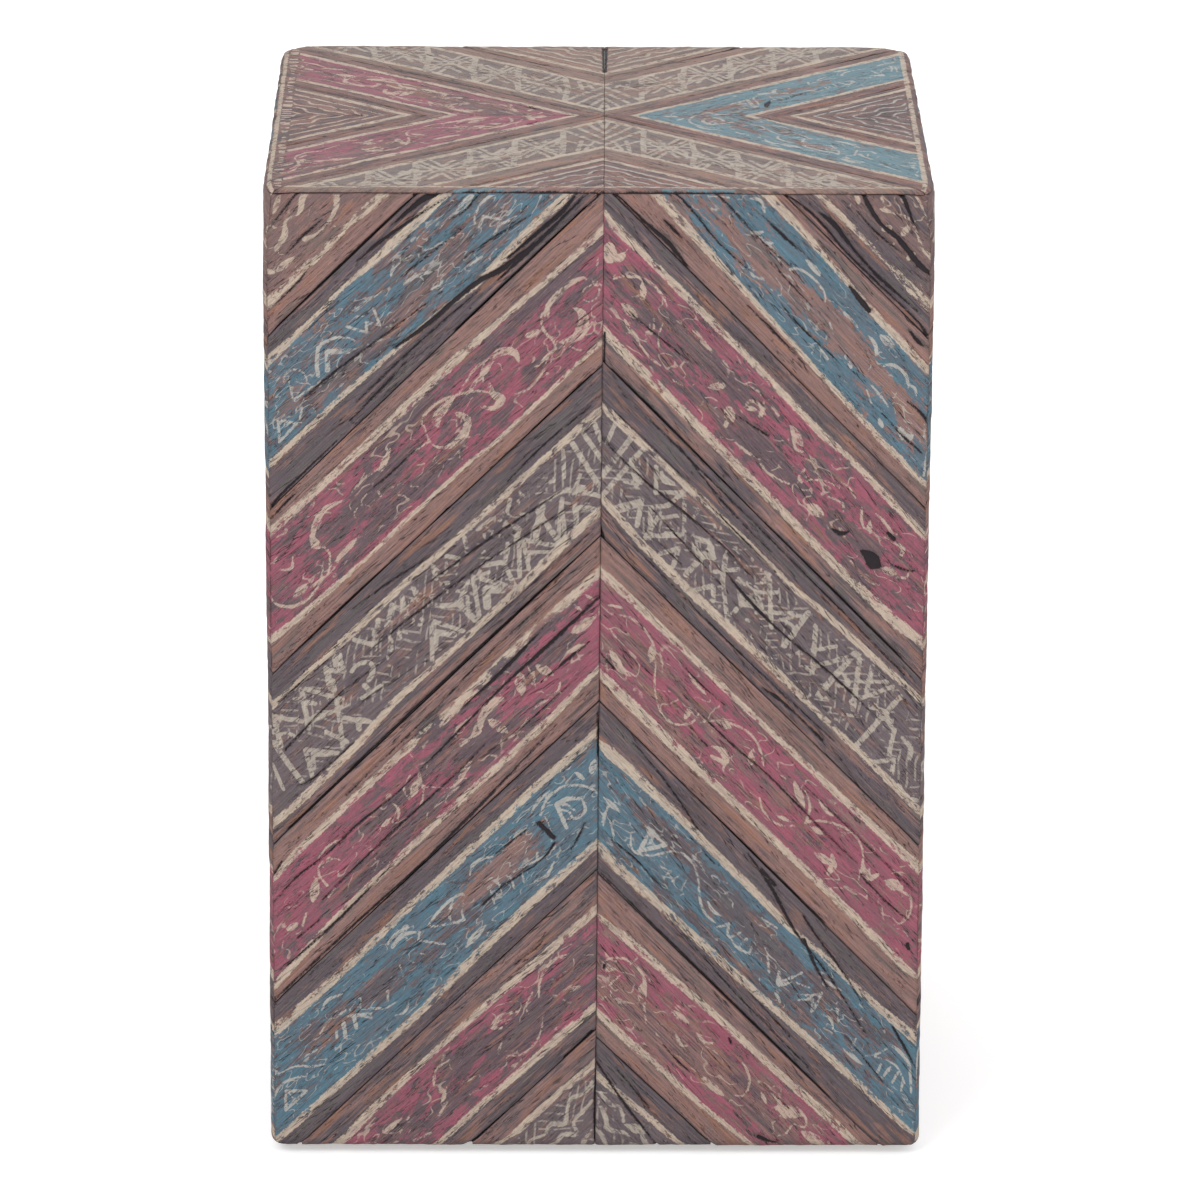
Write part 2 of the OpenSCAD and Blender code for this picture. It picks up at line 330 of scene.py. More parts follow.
def leaf(u, v, length, angle, width):
    """A filled leaf from its stalk at (u, v)."""
    c, s = math.cos(math.radians(angle)), math.sin(math.radians(angle))
    return [(u + c * length * t, v + s * length * t, width * w)
            for t, w in ((0, 0.15), (0.3, 0.8), (0.55, 1), (0.8, 0.7), (1, 0.1))]


def waves(rng):
    """Wavy lines one under the other, for the triangles of the top."""
    strokes = [chain([(0, 16), (250, 16)], 2)]
    for v in (24, 32, 40, 48, 56):
        u, line = 6 + v * 0.2, [(0, v, 1.8)]
        while u < 170:
            line += [(u, v + rng.uniform(-1, 2), 1.8),
                     (u + 9, v - 2.5 + rng.uniform(-1.5, 1), 1.8)]
            u += rng.uniform(17, 24)
        strokes.append(bend(*line))
    return strokes


def stroke_gap(u, v, strokes, reach=4.0):
    """How far each point is from the nearest stroke's edge, mm; less than 0 inside it."""
    gap = np.full(u.shape, FAR)
    for stroke in strokes:
        line = np.asarray(stroke, float)
        (u0, v0, _), (u1, v1, _) = line.min(0), line.max(0)
        near = np.nonzero((u > u0 - reach) & (u < u1 + reach)
                          & (v > v0 - reach) & (v < v1 + reach))[0]
        if not len(near):
            continue
        pu, pv, best = u[near], v[near], gap[near]
        for (au, av, aw), (bu, bv, bw) in zip(line, line[1:]):
            du, dv = bu - au, bv - av
            t = np.clip(((pu - au) * du + (pv - av) * dv) / max(du * du + dv * dv, 1e-9), 0, 1)
            d = np.hypot(pu - au - du * t, pv - av - dv * t) - (aw + (bw - aw) * t) / 2
            best = np.minimum(best, d)
        gap[near] = best
    return gap


# The painted front
# One entry for each board, keyed by its row and half: where its cream lines run and how wide
# they are, the tone of its two bare strips and of the wood under the paint (0 grey, 1 warm),
# its ornament, its rubbed places (u, v, reach along, reach across, amount), places of another
# tone, what its seam shows, short strokes at random (u and v from and to, count), its cracks.

NO_LINE = ((0, -60, 1), (320, -60, 1))
NO_FOOT_LINE = ((0, 120, 1), (320, 120, 1))

FRONT_PAINT = {}
FRONT_PAINT[0, -1] = dict(
    top=NO_LINE,
    bottom=((205, 54, 5), (228, 54, 5), (240, 53, 3), (255, 54, 3.5), (300, 54, 5)),
    tones=(0.8, 0.85), bare=0.8,
    strokes=[bend((232, 36, 4), (238, 42, 3), (247, 45, 1.5), (256, 45, 1.5), (262, 43, 3)),
        bend((241, 27, 1.2), (246, 26, 3.5), (252, 30, 3), (256, 31)),
        bend((257, 30), (263, 29, 2), (268, 34, 4), (277, 36, 2)), leaf(272, 46, 14, -5, 4),
        leaf(254, 15, 12, 25, 4), leaf(285, 45, 8, -40, 3)],
    worn=((250, 50, 30, 3, 0.3), (262, 25, 20, 3, 0.25)),
    cracks=[bend((243, 22, 0.5), (255, 23, 1.2), (270, 24, 0.4)),
        bend((248, 42, 0.4), (260, 41, 1.2), (275, 42, 0.4)),
        bend((202, 67, 0.6), (240, 66, 1.2), (310, 67, 1.4)),
        bend((270, 55, 0.3), (282, 57, 0.9), (300, 57, 0.3))])
FRONT_PAINT[0, 1] = dict(
    top=NO_LINE,
    bottom=((210, 53, 4), (225, 53, 4), (245, 53, 2.5), (265, 53, 2), (285, 54, 5), (305, 54, 5)),
    tones=(0.5, 0.4), bare=0.5,
    strokes=[leaf(227, 38, 8, 30, 3),
        bend((235, 27), (240, 31, 1.4), (248, 33), (258, 28, 1.6), (266, 30, 1.2), (274, 34, 2.2),
            (283, 35, 2)), leaf(262, 38, 8, -95, 4), leaf(252, 43, 6, -60, 4), leaf(273, 45, 6, -80, 3.5),
        leaf(243, 36, 8, -30, 2.4), bend((246, 18), (255, 16, 1.6), (266, 20, 1.4)),
        bar(280, 34, 290, 36, 1.6)],
    worn=((262, 48, 28, 5, 0.3), (262, 60, 35, 4, 0.3), (258, 22, 12, 6, 0.3)),
    patches=((262, 49, 30, 5, 0.0), (262, 60, 36, 5, 0.0), (258, 22, 14, 6, 0.05)),
    cracks=[bend((242, 21, 2.2), (250, 23, 2.5), (262, 28, 1.2)),
        bend((228, 34), (236, 38, 2.5), (250, 41, 2), (262, 40, 2.6), (280, 42, 3.2), (290, 41, 1.6),
            (298, 45, 0.8)),
        bend((222, 60, 0.5), (232, 59, 2.5), (250, 61, 1.2), (270, 62, 1.5), (300, 60, 0.6)),
        bend((205, 65, 0.8), (225, 63, 1.2), (250, 65), (300, 64), (311, 66, 2.4)),
        bend((236, 45, 0.4), (250, 46), (270, 44, 0.5))])
FRONT_PAINT[1, -1] = dict(
    top=((120, 10, 5), (150, 10.5, 5.5), (180, 10, 4), (200, 9, 2), (225, 10, 2.5), (262, 9.5, 5)),
    bottom=((75, 55, 3), (88, 55.5, 5), (105, 54.5, 4), (125, 56, 5.5), (150, 56.5, 3.5), (175, 54, 3),
        (200, 52.5, 2.5), (240, 50.5, 3), (300, 50, 3.5)),
    tones=(0.2, 0.1), bare=0.35,
    strokes=[leaf(114, 20.5, 17, 5, 4.5), arc(115, 36, 13, 9, 195, 340, 1.8, 1.2),
        chain([(116, 40), (121, 33), (128, 36)], 1.6), chain([(113, 44), (118, 42), (124, 44)]),
        arc(134, 24, 10, 3, 180, 340), bar(140, 30, 156, 25, 1.2), bar(146, 30, 155, 33, 1.2),
        bar(137, 48, 152, 46, 1.6), chain([(158, 40), (163, 44), (168, 42)], 1.8),
        chain([(163, 34), (170, 31), (176, 30)], 2), arc(170, 24, 9, 4, 200, 330, 1, 1.4),
        bar(171, 17, 178, 22, 1.3), bar(186, 25, 206, 21, 1.2),
        chain([(197, 28), (201, 37), (205, 31), (209, 35), (214, 25)], 1.6), bar(194, 40, 202, 43),
        bar(206, 43, 214, 40), arc(231, 37, 15, 14, 190, 275, 1.2, 2),
        chain([(233, 23), (240, 29), (247, 38)], 2.2), chain([(222, 36), (231, 28), (238, 35)], 3),
        arc(254, 27, 6, 6, 120, 330, 1.2, 1), bar(256, 24, 262, 33, 1.2), bar(250, 36, 262, 34, 1.2),
        chain([(270, 44), (276, 36), (284, 45)], 1.6, True), bar(262, 40, 268, 44, 1.2)],
    worn=((150, 36, 40, 5, 0.1), (200, 40, 50, 5, 0.12), (170, 20, 35, 4, 0.08), (225, 43, 40, 4, 0.1)),
    cracks=[bend((112, 6, 0.6), (128, 6, 4), (140, 4, 3), (160, 3, 0.6)),
        bend((128, 12, 0.4), (150, 8, 1.4), (170, 5, 1.8), (185, 4, 0.8)),
        bend((78, 58, 0.5), (90, 60, 2.4), (110, 59, 1.8), (128, 58, 1.2)),
        bend((74, 62, 0.5), (110, 63, 2), (140, 63, 0.8)),
        bend((100, 64, 0.4), (118, 62, 2), (135, 60, 3), (150, 56, 2.6), (185, 54, 2.4), (205, 51)),
        bend((150, 60, 0.4), (200, 58), (240, 58, 0.6)),
        bend((205, 61, 0.3), (225, 62, 1.4), (250, 63, 0.5)),
        bend((262, 66, 0.5), (300, 66, 1.2), (316, 67, 1.6)),
        bend((80, 67, 0.8), (130, 67, 1.2), (175, 67)),
        bend((103, 50, 0.3), (125, 45, 0.8), (145, 42, 0.3)),
        bend((130, 30, 0.2), (155, 28, 0.9), (175, 26, 0.3)),
        bend((110, 22, 0.3), (125, 24, 0.9), (135, 22, 0.2)),
        bend((165, 47, 0.3), (190, 44, 0.8), (215, 41), (240, 38, 1.2), (260, 37, 0.6))])
FRONT_PAINT[1, 1] = dict(
    top=((128, 6, 5), (160, 7, 4), (190, 9, 2.5), (215, 11, 4), (262, 12.5, 4)),
    bottom=((90, 48, 5), (110, 49, 5), (140, 50.5, 3.5), (180, 52.5, 3), (230, 55, 2.5), (270, 56.5, 3.5),
        (302, 57, 3)),
    tones=(0.7, 0.9), bare=0.95,
    strokes=[bend((124, 14), (129, 11, 2.2), (135, 14)), leaf(168, 16, 14, 4, 3.5),
        arc(180, 26, 13, 5.5, 180, 350, 1.8, 1),
        bend((137, 26), (145, 25, 1.6), (155, 25, 1.4), (160, 27)), bar(138, 27, 142, 22),
        bar(147, 26, 150, 22), bend((108, 28, 2), (112, 24, 2.5), (116, 22)),
        bend((152, 42), (157, 42, 1.6), (162, 38, 2)), leaf(226, 17, 11, -5, 5),
        bend((222, 22), (228, 22, 2.4), (233, 26, 1.6)),
        bend((240, 27, 1.4), (244, 23, 2), (252, 22.5, 2), (258, 26, 1.2)),
        bend((255, 26), (260, 24, 1.6), (264, 26)), leaf(271, 45, 8, 0, 8), bar(222, 38, 228, 40, 2.2),
        bend((240, 39), (250, 40, 1.4), (258, 41)), bend((243, 43), (250, 46, 1.4)),
        bar(202, 31, 208, 34, 1.2), bar(210, 45, 216, 46), leaf(258, 49, 7, 20, 3), bar(204, 22, 215, 22),
        bar(279, 34, 285, 40), bar(290, 42, 299, 54, 1.6)],
    worn=((185, 27, 25, 4, 0.1), (195, 33, 40, 4, 0.14), (150, 35, 25, 5, 0.14), (215, 28, 20, 6, 0.12),
        (240, 33, 25, 5, 0.12), (130, 33, 20, 4, 0.12), (275, 38, 12, 8, 0.14), (190, 18, 80, 5, -0.12),
        (210, 49, 90, 5, -0.1), (255, 24, 30, 6, -0.06), (100, 45, 8, 4, 0.2)),
    cracks=[bend((106, 25), (120, 25), (145, 26, 0.8), (165, 25, 0.5)),
        bend((93, 40), (110, 41), (130, 43, 0.8), (150, 42, 0.5)),
        bend((135, 16, 0.4), (152, 16, 1.8), (165, 15, 0.5)),
        bend((196, 10, 1.5), (205, 11, 3), (213, 12, 2.4)),
        bend((235, 4, 0.5), (243, 5, 2), (248, 4.5, 0.5)),
        bend((180, 43, 0.4), (195, 44), (220, 43, 0.5)),
        bend((165, 56, 0.4), (185, 56, 1.2), (210, 57, 0.6)),
        bend((100, 55, 0.5), (107, 55, 1.8), (114, 55, 0.4)),
        bend((68, 63), (95, 63, 1.4), (110, 62, 2.5), (127, 64)),
        bend((130, 65, 0.5), (200, 66, 0.8), (310, 67, 0.8)),
        bend((263, 32, 0.6), (275, 31, 1.6), (280, 32)),
        bend((258, 46, 0.4), (275, 47, 1.2), (290, 46, 0.6)),
        bend((155, 31, 0.3), (165, 31, 0.8), (190, 32, 0.4))])
FRONT_PAINT[2, -1] = dict(
    seam=1.3,
    top=((0, 14, 3), (12, 15, 4), (50, 14, 3), (90, 12, 3), (120, 11, 5), (150, 11, 5), (200, 10.5, 4),
        (255, 9, 4.5)),
    bottom=((55, 57.5, 2.5), (100, 58, 2), (143, 57.5, 2), (150, 56, 2), (200, 55, 2.5), (230, 55, 2),
        (280, 53, 3.5), (300, 51, 4)),
    tones=(0.8, 0.85), bare=0.12,
    strokes=[arc(54, 35, 17, 13, 175, 330, 1.2, 1.4), arc(55, 28, 15, 5, 185, 350, 1, 1, 3.2),
        arc(66, 36, 10, 12, -70, 60, 1.2, 1.2),
        bend((76, 33, 1.3), (77, 42, 1.3), (84, 44, 1.3), (93, 43)), leaf(76, 31, 10, -20, 3.6),
        bend((56, 33, 0.5), (55, 40, 4.5), (60, 45, 6), (68, 46, 3), (72, 43)),
        bend((52, 46, 0.6), (60, 48, 1.8), (70, 47, 1.4), (82, 43, 1.4), (92, 44)),
        bend((84, 44), (92, 48, 1.3), (104, 49, 1.3), (112, 46, 0.8)),
        arc(44, 35, 5, 4, 0, 300, 0.9, 0.9),
        bend((97, 35), (95, 30, 4), (99, 25, 4.5), (107, 24, 4), (115, 26, 2.5), (118, 30)),
        bend((105, 23), (115, 21.5, 1.2), (127, 24, 1.2), (132, 26, 0.8)),
        bend((110, 27), (120, 27, 2.2), (129, 28.5, 1.5)),
        bend((116, 33), (119, 38, 3.5), (118, 43, 5), (124, 44, 3), (128, 39, 2)),
        bend((119, 37), (124, 31, 1.4), (133, 25, 1.5), (143, 21, 1.6), (154, 21, 1.6), (158, 24)),
        bend((134, 25), (143, 25.5, 4.5), (150, 27, 5), (152, 30, 2)),
        bend((140, 33, 3), (138, 38, 3.5), (143, 42, 4.5), (151, 43.5, 4), (158, 41, 2), (161, 36, 1.4),
            (160, 30, 1.2), (157, 25)), bar(161, 33, 170, 31, 1.2), bar(160, 40, 168, 42, 1),
        leaf(178, 21, 16, 22, 3.6), bend((190, 25), (200, 23, 1.6), (210, 24, 1.2)),
        bend((216, 24), (226, 20.5, 3), (235, 22, 3.4), (243, 27, 2.6), (247, 31, 1.5)),
        leaf(243, 25, 9, 80, 5), bend((243, 32, 1.2), (242, 38, 1.4), (247, 44, 1.2), (252, 47)),
        arc(206, 34, 6, 4, 150, 330, 1.6, 0.8), arc(214, 36, 5, 4, 180, 360, 0.8, 0.8),
        bend((220, 45), (232, 44, 3), (243, 45, 2)),
        bend((248, 40), (256, 46, 1.2), (266, 49, 1.4), (276, 47, 2.2), (282, 41, 1.8), (283, 35, 1.2),
            (279, 29, 0.8)), leaf(262, 43, 12, 0, 4.5), leaf(252, 47, 12, -8, 2),
        bend((258, 27), (263, 31, 1.4), (268, 27, 1.2)), bar(264, 23, 272, 21, 1),
        leaf(21, 27, 8, -120, 2.5), bar(28, 24, 33, 28, 1)],
    worn=((60, 18, 40, 3, 0.22), (120, 17, 15, 3, 0.15), (165, 17, 22, 4, 0.25), (195, 29, 22, 4, 0.25),
        (215, 33, 25, 6, 0.1), (180, 45, 30, 4, 0.25), (215, 47, 20, 3, 0.15), (45, 31, 18, 2, 0.1)),
    cracks=[bend((230, 3, 0.2), (240, 3.5, 1.2), (255, 4, 0.4)),
        bend((75, 67, 0.4), (100, 67, 0.8), (140, 67, 0.6)),
        bend((180, 66, 0.3), (200, 67, 1.4), (260, 65, 0.8), (312, 66, 1.2)),
        bend((160, 31, 0.2), (190, 31, 0.8), (200, 30, 0.2))])
FRONT_PAINT[2, 1] = dict(
    seam=1.3,
    top=((10, 10, 2), (22, 11.5, 5.5), (45, 11, 3.5), (70, 11, 4.5), (120, 10.5, 3.5), (180, 11.5, 4),
        (200, 10, 3), (230, 10.5, 4), (262, 11, 4)),
    bottom=((58, 55, 4), (62, 56, 5), (120, 56, 5), (200, 56, 4.5), (240, 56.5, 4.5), (285, 55, 6),
        (300, 53, 5)),
    tones=(0.3, 0.5), bare=0.15,
    strokes=[leaf(24, 20, 11, 40, 8), leaf(34, 25, 7, -85, 4.5),
        bend((40, 32, 1.2), (44, 26, 1.8), (50, 21, 1.6), (58, 19, 1.8), (66, 20, 1.4), (71, 22)),
        leaf(52, 22, 9, 40, 4), leaf(52, 38, 13, 0, 5), bend((60, 43), (66, 45, 2.4), (74, 46, 1.4)),
        bend((71, 32, 1.4), (75, 36, 1.4), (73, 40)), bend((76, 30), (79, 36, 1.2), (84, 41)),
        bend((88, 20), (94, 21.5, 3), (106, 22, 1.4)), bend((113, 21), (118, 22, 1.2), (122, 26)),
        leaf(118, 37, 10, -50, 4.5), bend((75, 47), (84, 48, 1.4), (92, 47)), bend((102, 48), (108, 46)),
        leaf(133, 37, 9, 30, 6.5), bend((137, 40, 2), (140, 45, 2.5)),
        bend((131, 22), (140, 19.5, 1.2), (148, 24)), arc(144, 28, 5, 4, 170, 360, 1.6, 2.5),
        leaf(139, 31, 8, -30, 3), bend((150, 48), (158, 47, 1.6), (163, 46)),
        bend((166, 45), (172, 47, 1.6), (180, 46, 1.6), (187, 43, 1.2)), leaf(164, 20, 14, 15, 5),
        bend((170, 24), (176, 27, 1.8), (180, 25)), bend((187, 31, 1.2), (189, 37, 2.5), (191, 32)),
        bend((190, 40), (194, 33, 1.2), (200, 28), (208, 25)), leaf(202, 44, 11, -10, 6.5),
        bend((206, 22), (212, 21.5, 1.4), (218, 23)), bend((224, 24), (229, 29, 1.8), (233, 31, 1.4)),
        leaf(232, 26, 8, 40, 3), bend((232, 21), (240, 21, 2), (247, 23, 1.6)),
        bend((250, 25), (256, 24, 3), (258, 27, 2)), leaf(256, 40, 9, -25, 5),
        bend((265, 38, 1.2), (269, 34, 1.4), (268, 31)), bend((240, 49), (255, 50, 1.2), (262, 47)),
        leaf(223, 40, 7, 20, 3), bar(150, 20, 156, 21), bend((207, 33), (215, 30, 1.4), (219, 33))],
    worn=((100, 25, 35, 3, 0.15), (80, 32, 40, 6, 0.1), (165, 40, 22, 5, 0.25), (130, 27, 10, 4, 0.25),
        (190, 26, 5, 5, 0.3), (220, 42, 8, 5, 0.2), (240, 36, 12, 4, 0.15), (250, 52, 8, 4, 0.3),
        (120, 45, 40, 4, 0.1), (45, 24, 6, 3, 0.2)),
    cracks=[bend((55, 39, 0.3), (80, 37), (105, 34, 0.3)),
        bend((140, 37, 0.3), (155, 34), (162, 32, 0.3)),
        bend((241, 41), (248, 40, 7), (251, 41, 7), (255, 40, 1.5)),
        bend((254, 36, 0.3), (265, 32, 1.2), (271, 27, 0.3)),
        bend((222, 44, 1.5), (227, 42, 2.5), (229, 38, 0.8)), bend((244, 24, 1.5), (249, 24, 2.5)),
        bend((58, 56), (64, 62), (70, 68)),
        bend((75, 67, 0.5), (115, 67), (180, 68, 1.2), (250, 67, 0.8), (300, 67, 0.6))])
FRONT_PAINT[3, -1] = dict(
    top=((12, 18, 3), (20, 17, 5), (60, 15.5, 3.5), (110, 15, 3.5), (150, 13.5, 3.5), (200, 13.5, 4),
        (250, 13, 3), (262, 12, 5)),
    bottom=((55, 57, 4), (70, 56, 5), (120, 58, 4.5), (170, 57.5, 3), (210, 56.5, 4), (240, 60, 4),
        (285, 61, 4.5), (305, 60, 4)),
    tones=(0.12, 0.4), bare=0.3,
    strokes=[bar(25, 20, 33, 38, 2.2), bar(33, 20, 36, 37, 2.2), bar(41, 20, 47, 46, 2.5),
        bar(47, 19, 57, 30, 1.8), chain([(50, 35), (56, 38), (53, 42), (60, 40)], 1.6),
        chain([(49, 54), (57, 40), (62, 36)], 2), chain([(58, 54), (64, 46), (71, 54)], 2.6),
        bar(76, 32, 60, 36), chain([(66, 38), (76, 46), (84, 54)], 2), bar(80, 34, 84, 54, 2.6),
        chain([(76, 34), (88, 40), (93, 46)], 2.5), chain([(69, 40), (76, 50), (80, 54)], 1.8),
        chain([(87, 54), (98, 38), (112, 53)], 2), bar(98, 42, 106, 54, 1.8),
        chain([(92, 54), (99, 47), (105, 52)], 1.6), bar(94, 34, 100, 38, 2.5),
        chain([(104, 36), (112, 42), (122, 35)], 2.1), bar(113, 42, 118, 56, 2),
        chain([(119, 55), (130, 36), (143, 54)], 2), chain([(124, 52), (130, 46), (136, 53)], 4),
        bar(122, 40, 130, 37), chain([(134, 36), (146, 42), (153, 36)], 2.4), bar(146, 42, 146, 54, 2.8),
        bar(140, 42, 145, 48, 1.6), chain([(155, 54), (163, 38), (178, 54)], 2),
        chain([(160, 52), (166, 44), (172, 50)], 3), bar(118, 17, 121, 22, 2), bar(132, 18, 128, 24, 2),
        bar(141, 17, 145, 23, 2.2), bar(157, 18, 160, 25, 2),
        chain([(165, 18), (170, 24), (172, 17)], 2.2), bar(173, 18, 183, 24, 2),
        chain([(183, 18), (194, 27), (200, 17)], 2.2), bar(86, 19, 92, 23, 1.8), bar(100, 20, 110, 19),
        chain([(212, 17), (216, 26), (222, 19)], 2), bar(222, 18, 228, 27, 3), leaf(210, 16, 9, 30, 5),
        arc(210, 33, 7, 5, 90, 300, 2.4, 1.5), bar(224, 25, 236, 42, 2), bar(238, 18, 228, 36, 2),
        bar(240, 17, 252, 35, 2.4), bar(246, 18, 240, 28, 2), bar(228, 40, 250, 33, 1.8),
        bar(214, 39, 214, 46, 2.5), bar(208, 45, 220, 43, 1.8),
        chain([(226, 56), (236, 42), (247, 56)], 2), chain([(227, 54), (230, 50), (233, 54)], 2.6),
        bar(247, 43, 243, 55, 2), bar(252, 30, 262, 16, 2), arc(247, 36, 6, 4, 200, 360, 1.4),
        chain([(251, 56), (262, 42), (270, 56)], 2), chain([(254, 54), (261, 47), (266, 53)], 2),
        bar(262, 18, 270, 32, 2.2), bar(272, 28, 276, 54, 2.6), bar(258, 20, 268, 24, 2),
        arc(266, 33, 5, 6, 180, 330, 1.6), bar(281, 36, 286, 50, 1.6)],
    scatter=((90, 210, 20, 38, 46), (60, 110, 22, 32, 10)),
    worn=((150, 26, 45, 6, 0.12), (190, 44, 20, 5, 0.12)),
    cracks=[bend((55, 36, 0.3), (80, 32), (110, 27, 1.2), (150, 22, 0.8)),
        bend((60, 45, 0.3), (90, 40, 0.9), (120, 35, 0.8), (160, 30), (200, 27, 0.4)),
        bend((20, 12, 0.5), (50, 10), (80, 11, 0.6)), bend((130, 14, 0.3), (160, 8), (190, 4, 0.5)),
        bend((200, 36, 0.3), (230, 33, 0.9), (270, 35, 1.2)),
        bend((70, 62, 0.3), (110, 61, 0.6), (150, 60, 0.3)),
        bend((65, 69, 0.3), (110, 67, 1.2), (220, 67), (300, 68, 0.8)),
        bend((240, 58, 0.2), (270, 57), (280, 54, 0.4)), bend((205, 16, 0.3), (240, 14), (255, 14, 0.4))])
FRONT_PAINT[3, 1] = dict(
    top=((18, 17, 3), (24, 17, 4.5), (60, 16.5, 3.5), (95, 15, 4), (125, 14, 2.5), (165, 14, 3),
        (180, 12, 3.5), (215, 10.5, 4), (250, 8.5, 3.5)),
    bottom=((57, 53, 4), (90, 55.5, 4.5), (130, 55, 5), (180, 53, 4.5), (220, 53, 3), (265, 52, 3.5),
        (300, 52, 4)),
    tones=(0.15, 0.3), bare=0.25,
    strokes=[bar(29, 18, 34, 30, 2), bar(41, 17, 45, 44, 2.8), bar(50, 18, 53, 52, 2.4),
        bar(50, 27, 62, 35, 2), bend((55, 29), (62, 31, 2.4), (60, 35, 1.6), (56, 38)),
        bend((66, 20, 1.6), (70, 22, 3.5), (75, 20, 2)), chain([(62, 20), (72, 30), (82, 20)], 2),
        chain([(82, 18), (82, 30), (76, 38)], 2.2), chain([(66, 50), (71, 40), (78, 50)], 2.4),
        bar(76, 38, 88, 50, 2), bar(62, 52, 70, 38, 1.6), bar(84, 20, 98, 34, 1.8),
        bar(90, 30, 84, 38, 1.8), bar(82, 36, 86, 52, 1.8), bar(86, 50, 98, 38, 2),
        bar(94, 18, 97, 26, 1.6), chain([(104, 33), (112, 29), (120, 33), (113, 38)], 2.4, True),
        bar(115, 30, 116, 50, 3), chain([(98, 52), (103, 43), (108, 52)], 2.2), bar(92, 42, 99, 36, 1.8),
        bar(124, 28, 132, 38, 2.4), bar(134, 28, 126, 38, 2),
        chain([(126, 52), (131, 44), (137, 50)], 2.2), bar(132, 38, 150, 52, 1.8),
        chain([(138, 32), (148, 29), (158, 34), (149, 40)], 2.6, True),
        bend((145, 36, 1.2), (152, 35, 3), (149, 33, 1.6)), bar(149, 40, 150, 52, 2.2),
        bar(148, 18, 148, 24, 2), bar(150, 20, 170, 38, 2), bar(158, 22, 150, 30),
        bar(172, 24, 158, 38, 1.6), bar(178, 18, 182, 40, 2.6), bar(186, 20, 204, 40, 2.2),
        bar(176, 22, 170, 32, 1.6), bend((172, 30), (178, 29, 1.6), (182, 32)),
        bar(202, 20, 190, 38, 1.8), bar(214, 14, 200, 40, 2.2), bar(212, 16, 215, 46, 3),
        bar(216, 16, 234, 38, 2.4), bar(224, 14, 232, 26, 2.2), bar(240, 14, 230, 36, 2),
        bend((216, 28, 1.4), (222, 30, 2.4), (219, 34, 2.2)), bar(216, 46, 222, 42),
        bar(247, 15, 250, 52, 2.6), bar(240, 28, 256, 30, 1.6),
        bend((240, 31), (246, 27, 2), (254, 29, 1.4)), bar(258, 30, 266, 42, 2),
        chain([(262, 52), (270, 42), (278, 52)], 2), bend((264, 30, 1.5), (272, 31, 2.4), (276, 36, 1.2)),
        bar(232, 44, 240, 38, 1.2), chain([(282, 50), (290, 52), (296, 49)], 2),
        bar(236, 14, 226, 24, 1.6)],
    scatter=((155, 235, 43, 50, 16), (95, 150, 18, 26, 12)),
    worn=((120, 22, 40, 5, 0.2), (190, 44, 40, 5, 0.15)),
    cracks=[bend((28, 30), (60, 30), (90, 27, 1.2), (120, 25, 0.8), (145, 26, 0.3)),
        bend((130, 34, 0.4), (150, 36, 1.8), (175, 36), (210, 33, 1.2), (250, 32, 0.5)),
        bend((25, 15, 0.4), (60, 14, 0.6), (150, 15, 0.8)),
        bend((190, 65, 0.5), (200, 63, 1.8), (215, 62), (235, 62, 1.4)),
        bend((20, 5, 0.5), (120, 4, 0.8), (240, 5, 0.8)),
        bend((60, 3, 0.4), (100, 8, 0.8), (140, 9, 0.3)), bend((45, 59, 0.5), (60, 63, 1.2), (70, 68, 2)),
        bend((70, 59, 0.3), (160, 60, 0.8), (240, 58, 0.6)),
        bend((75, 38, 0.3), (100, 39, 0.8), (140, 41, 0.3)), bend((80, 49, 0.3), (110, 48, 0.6))])
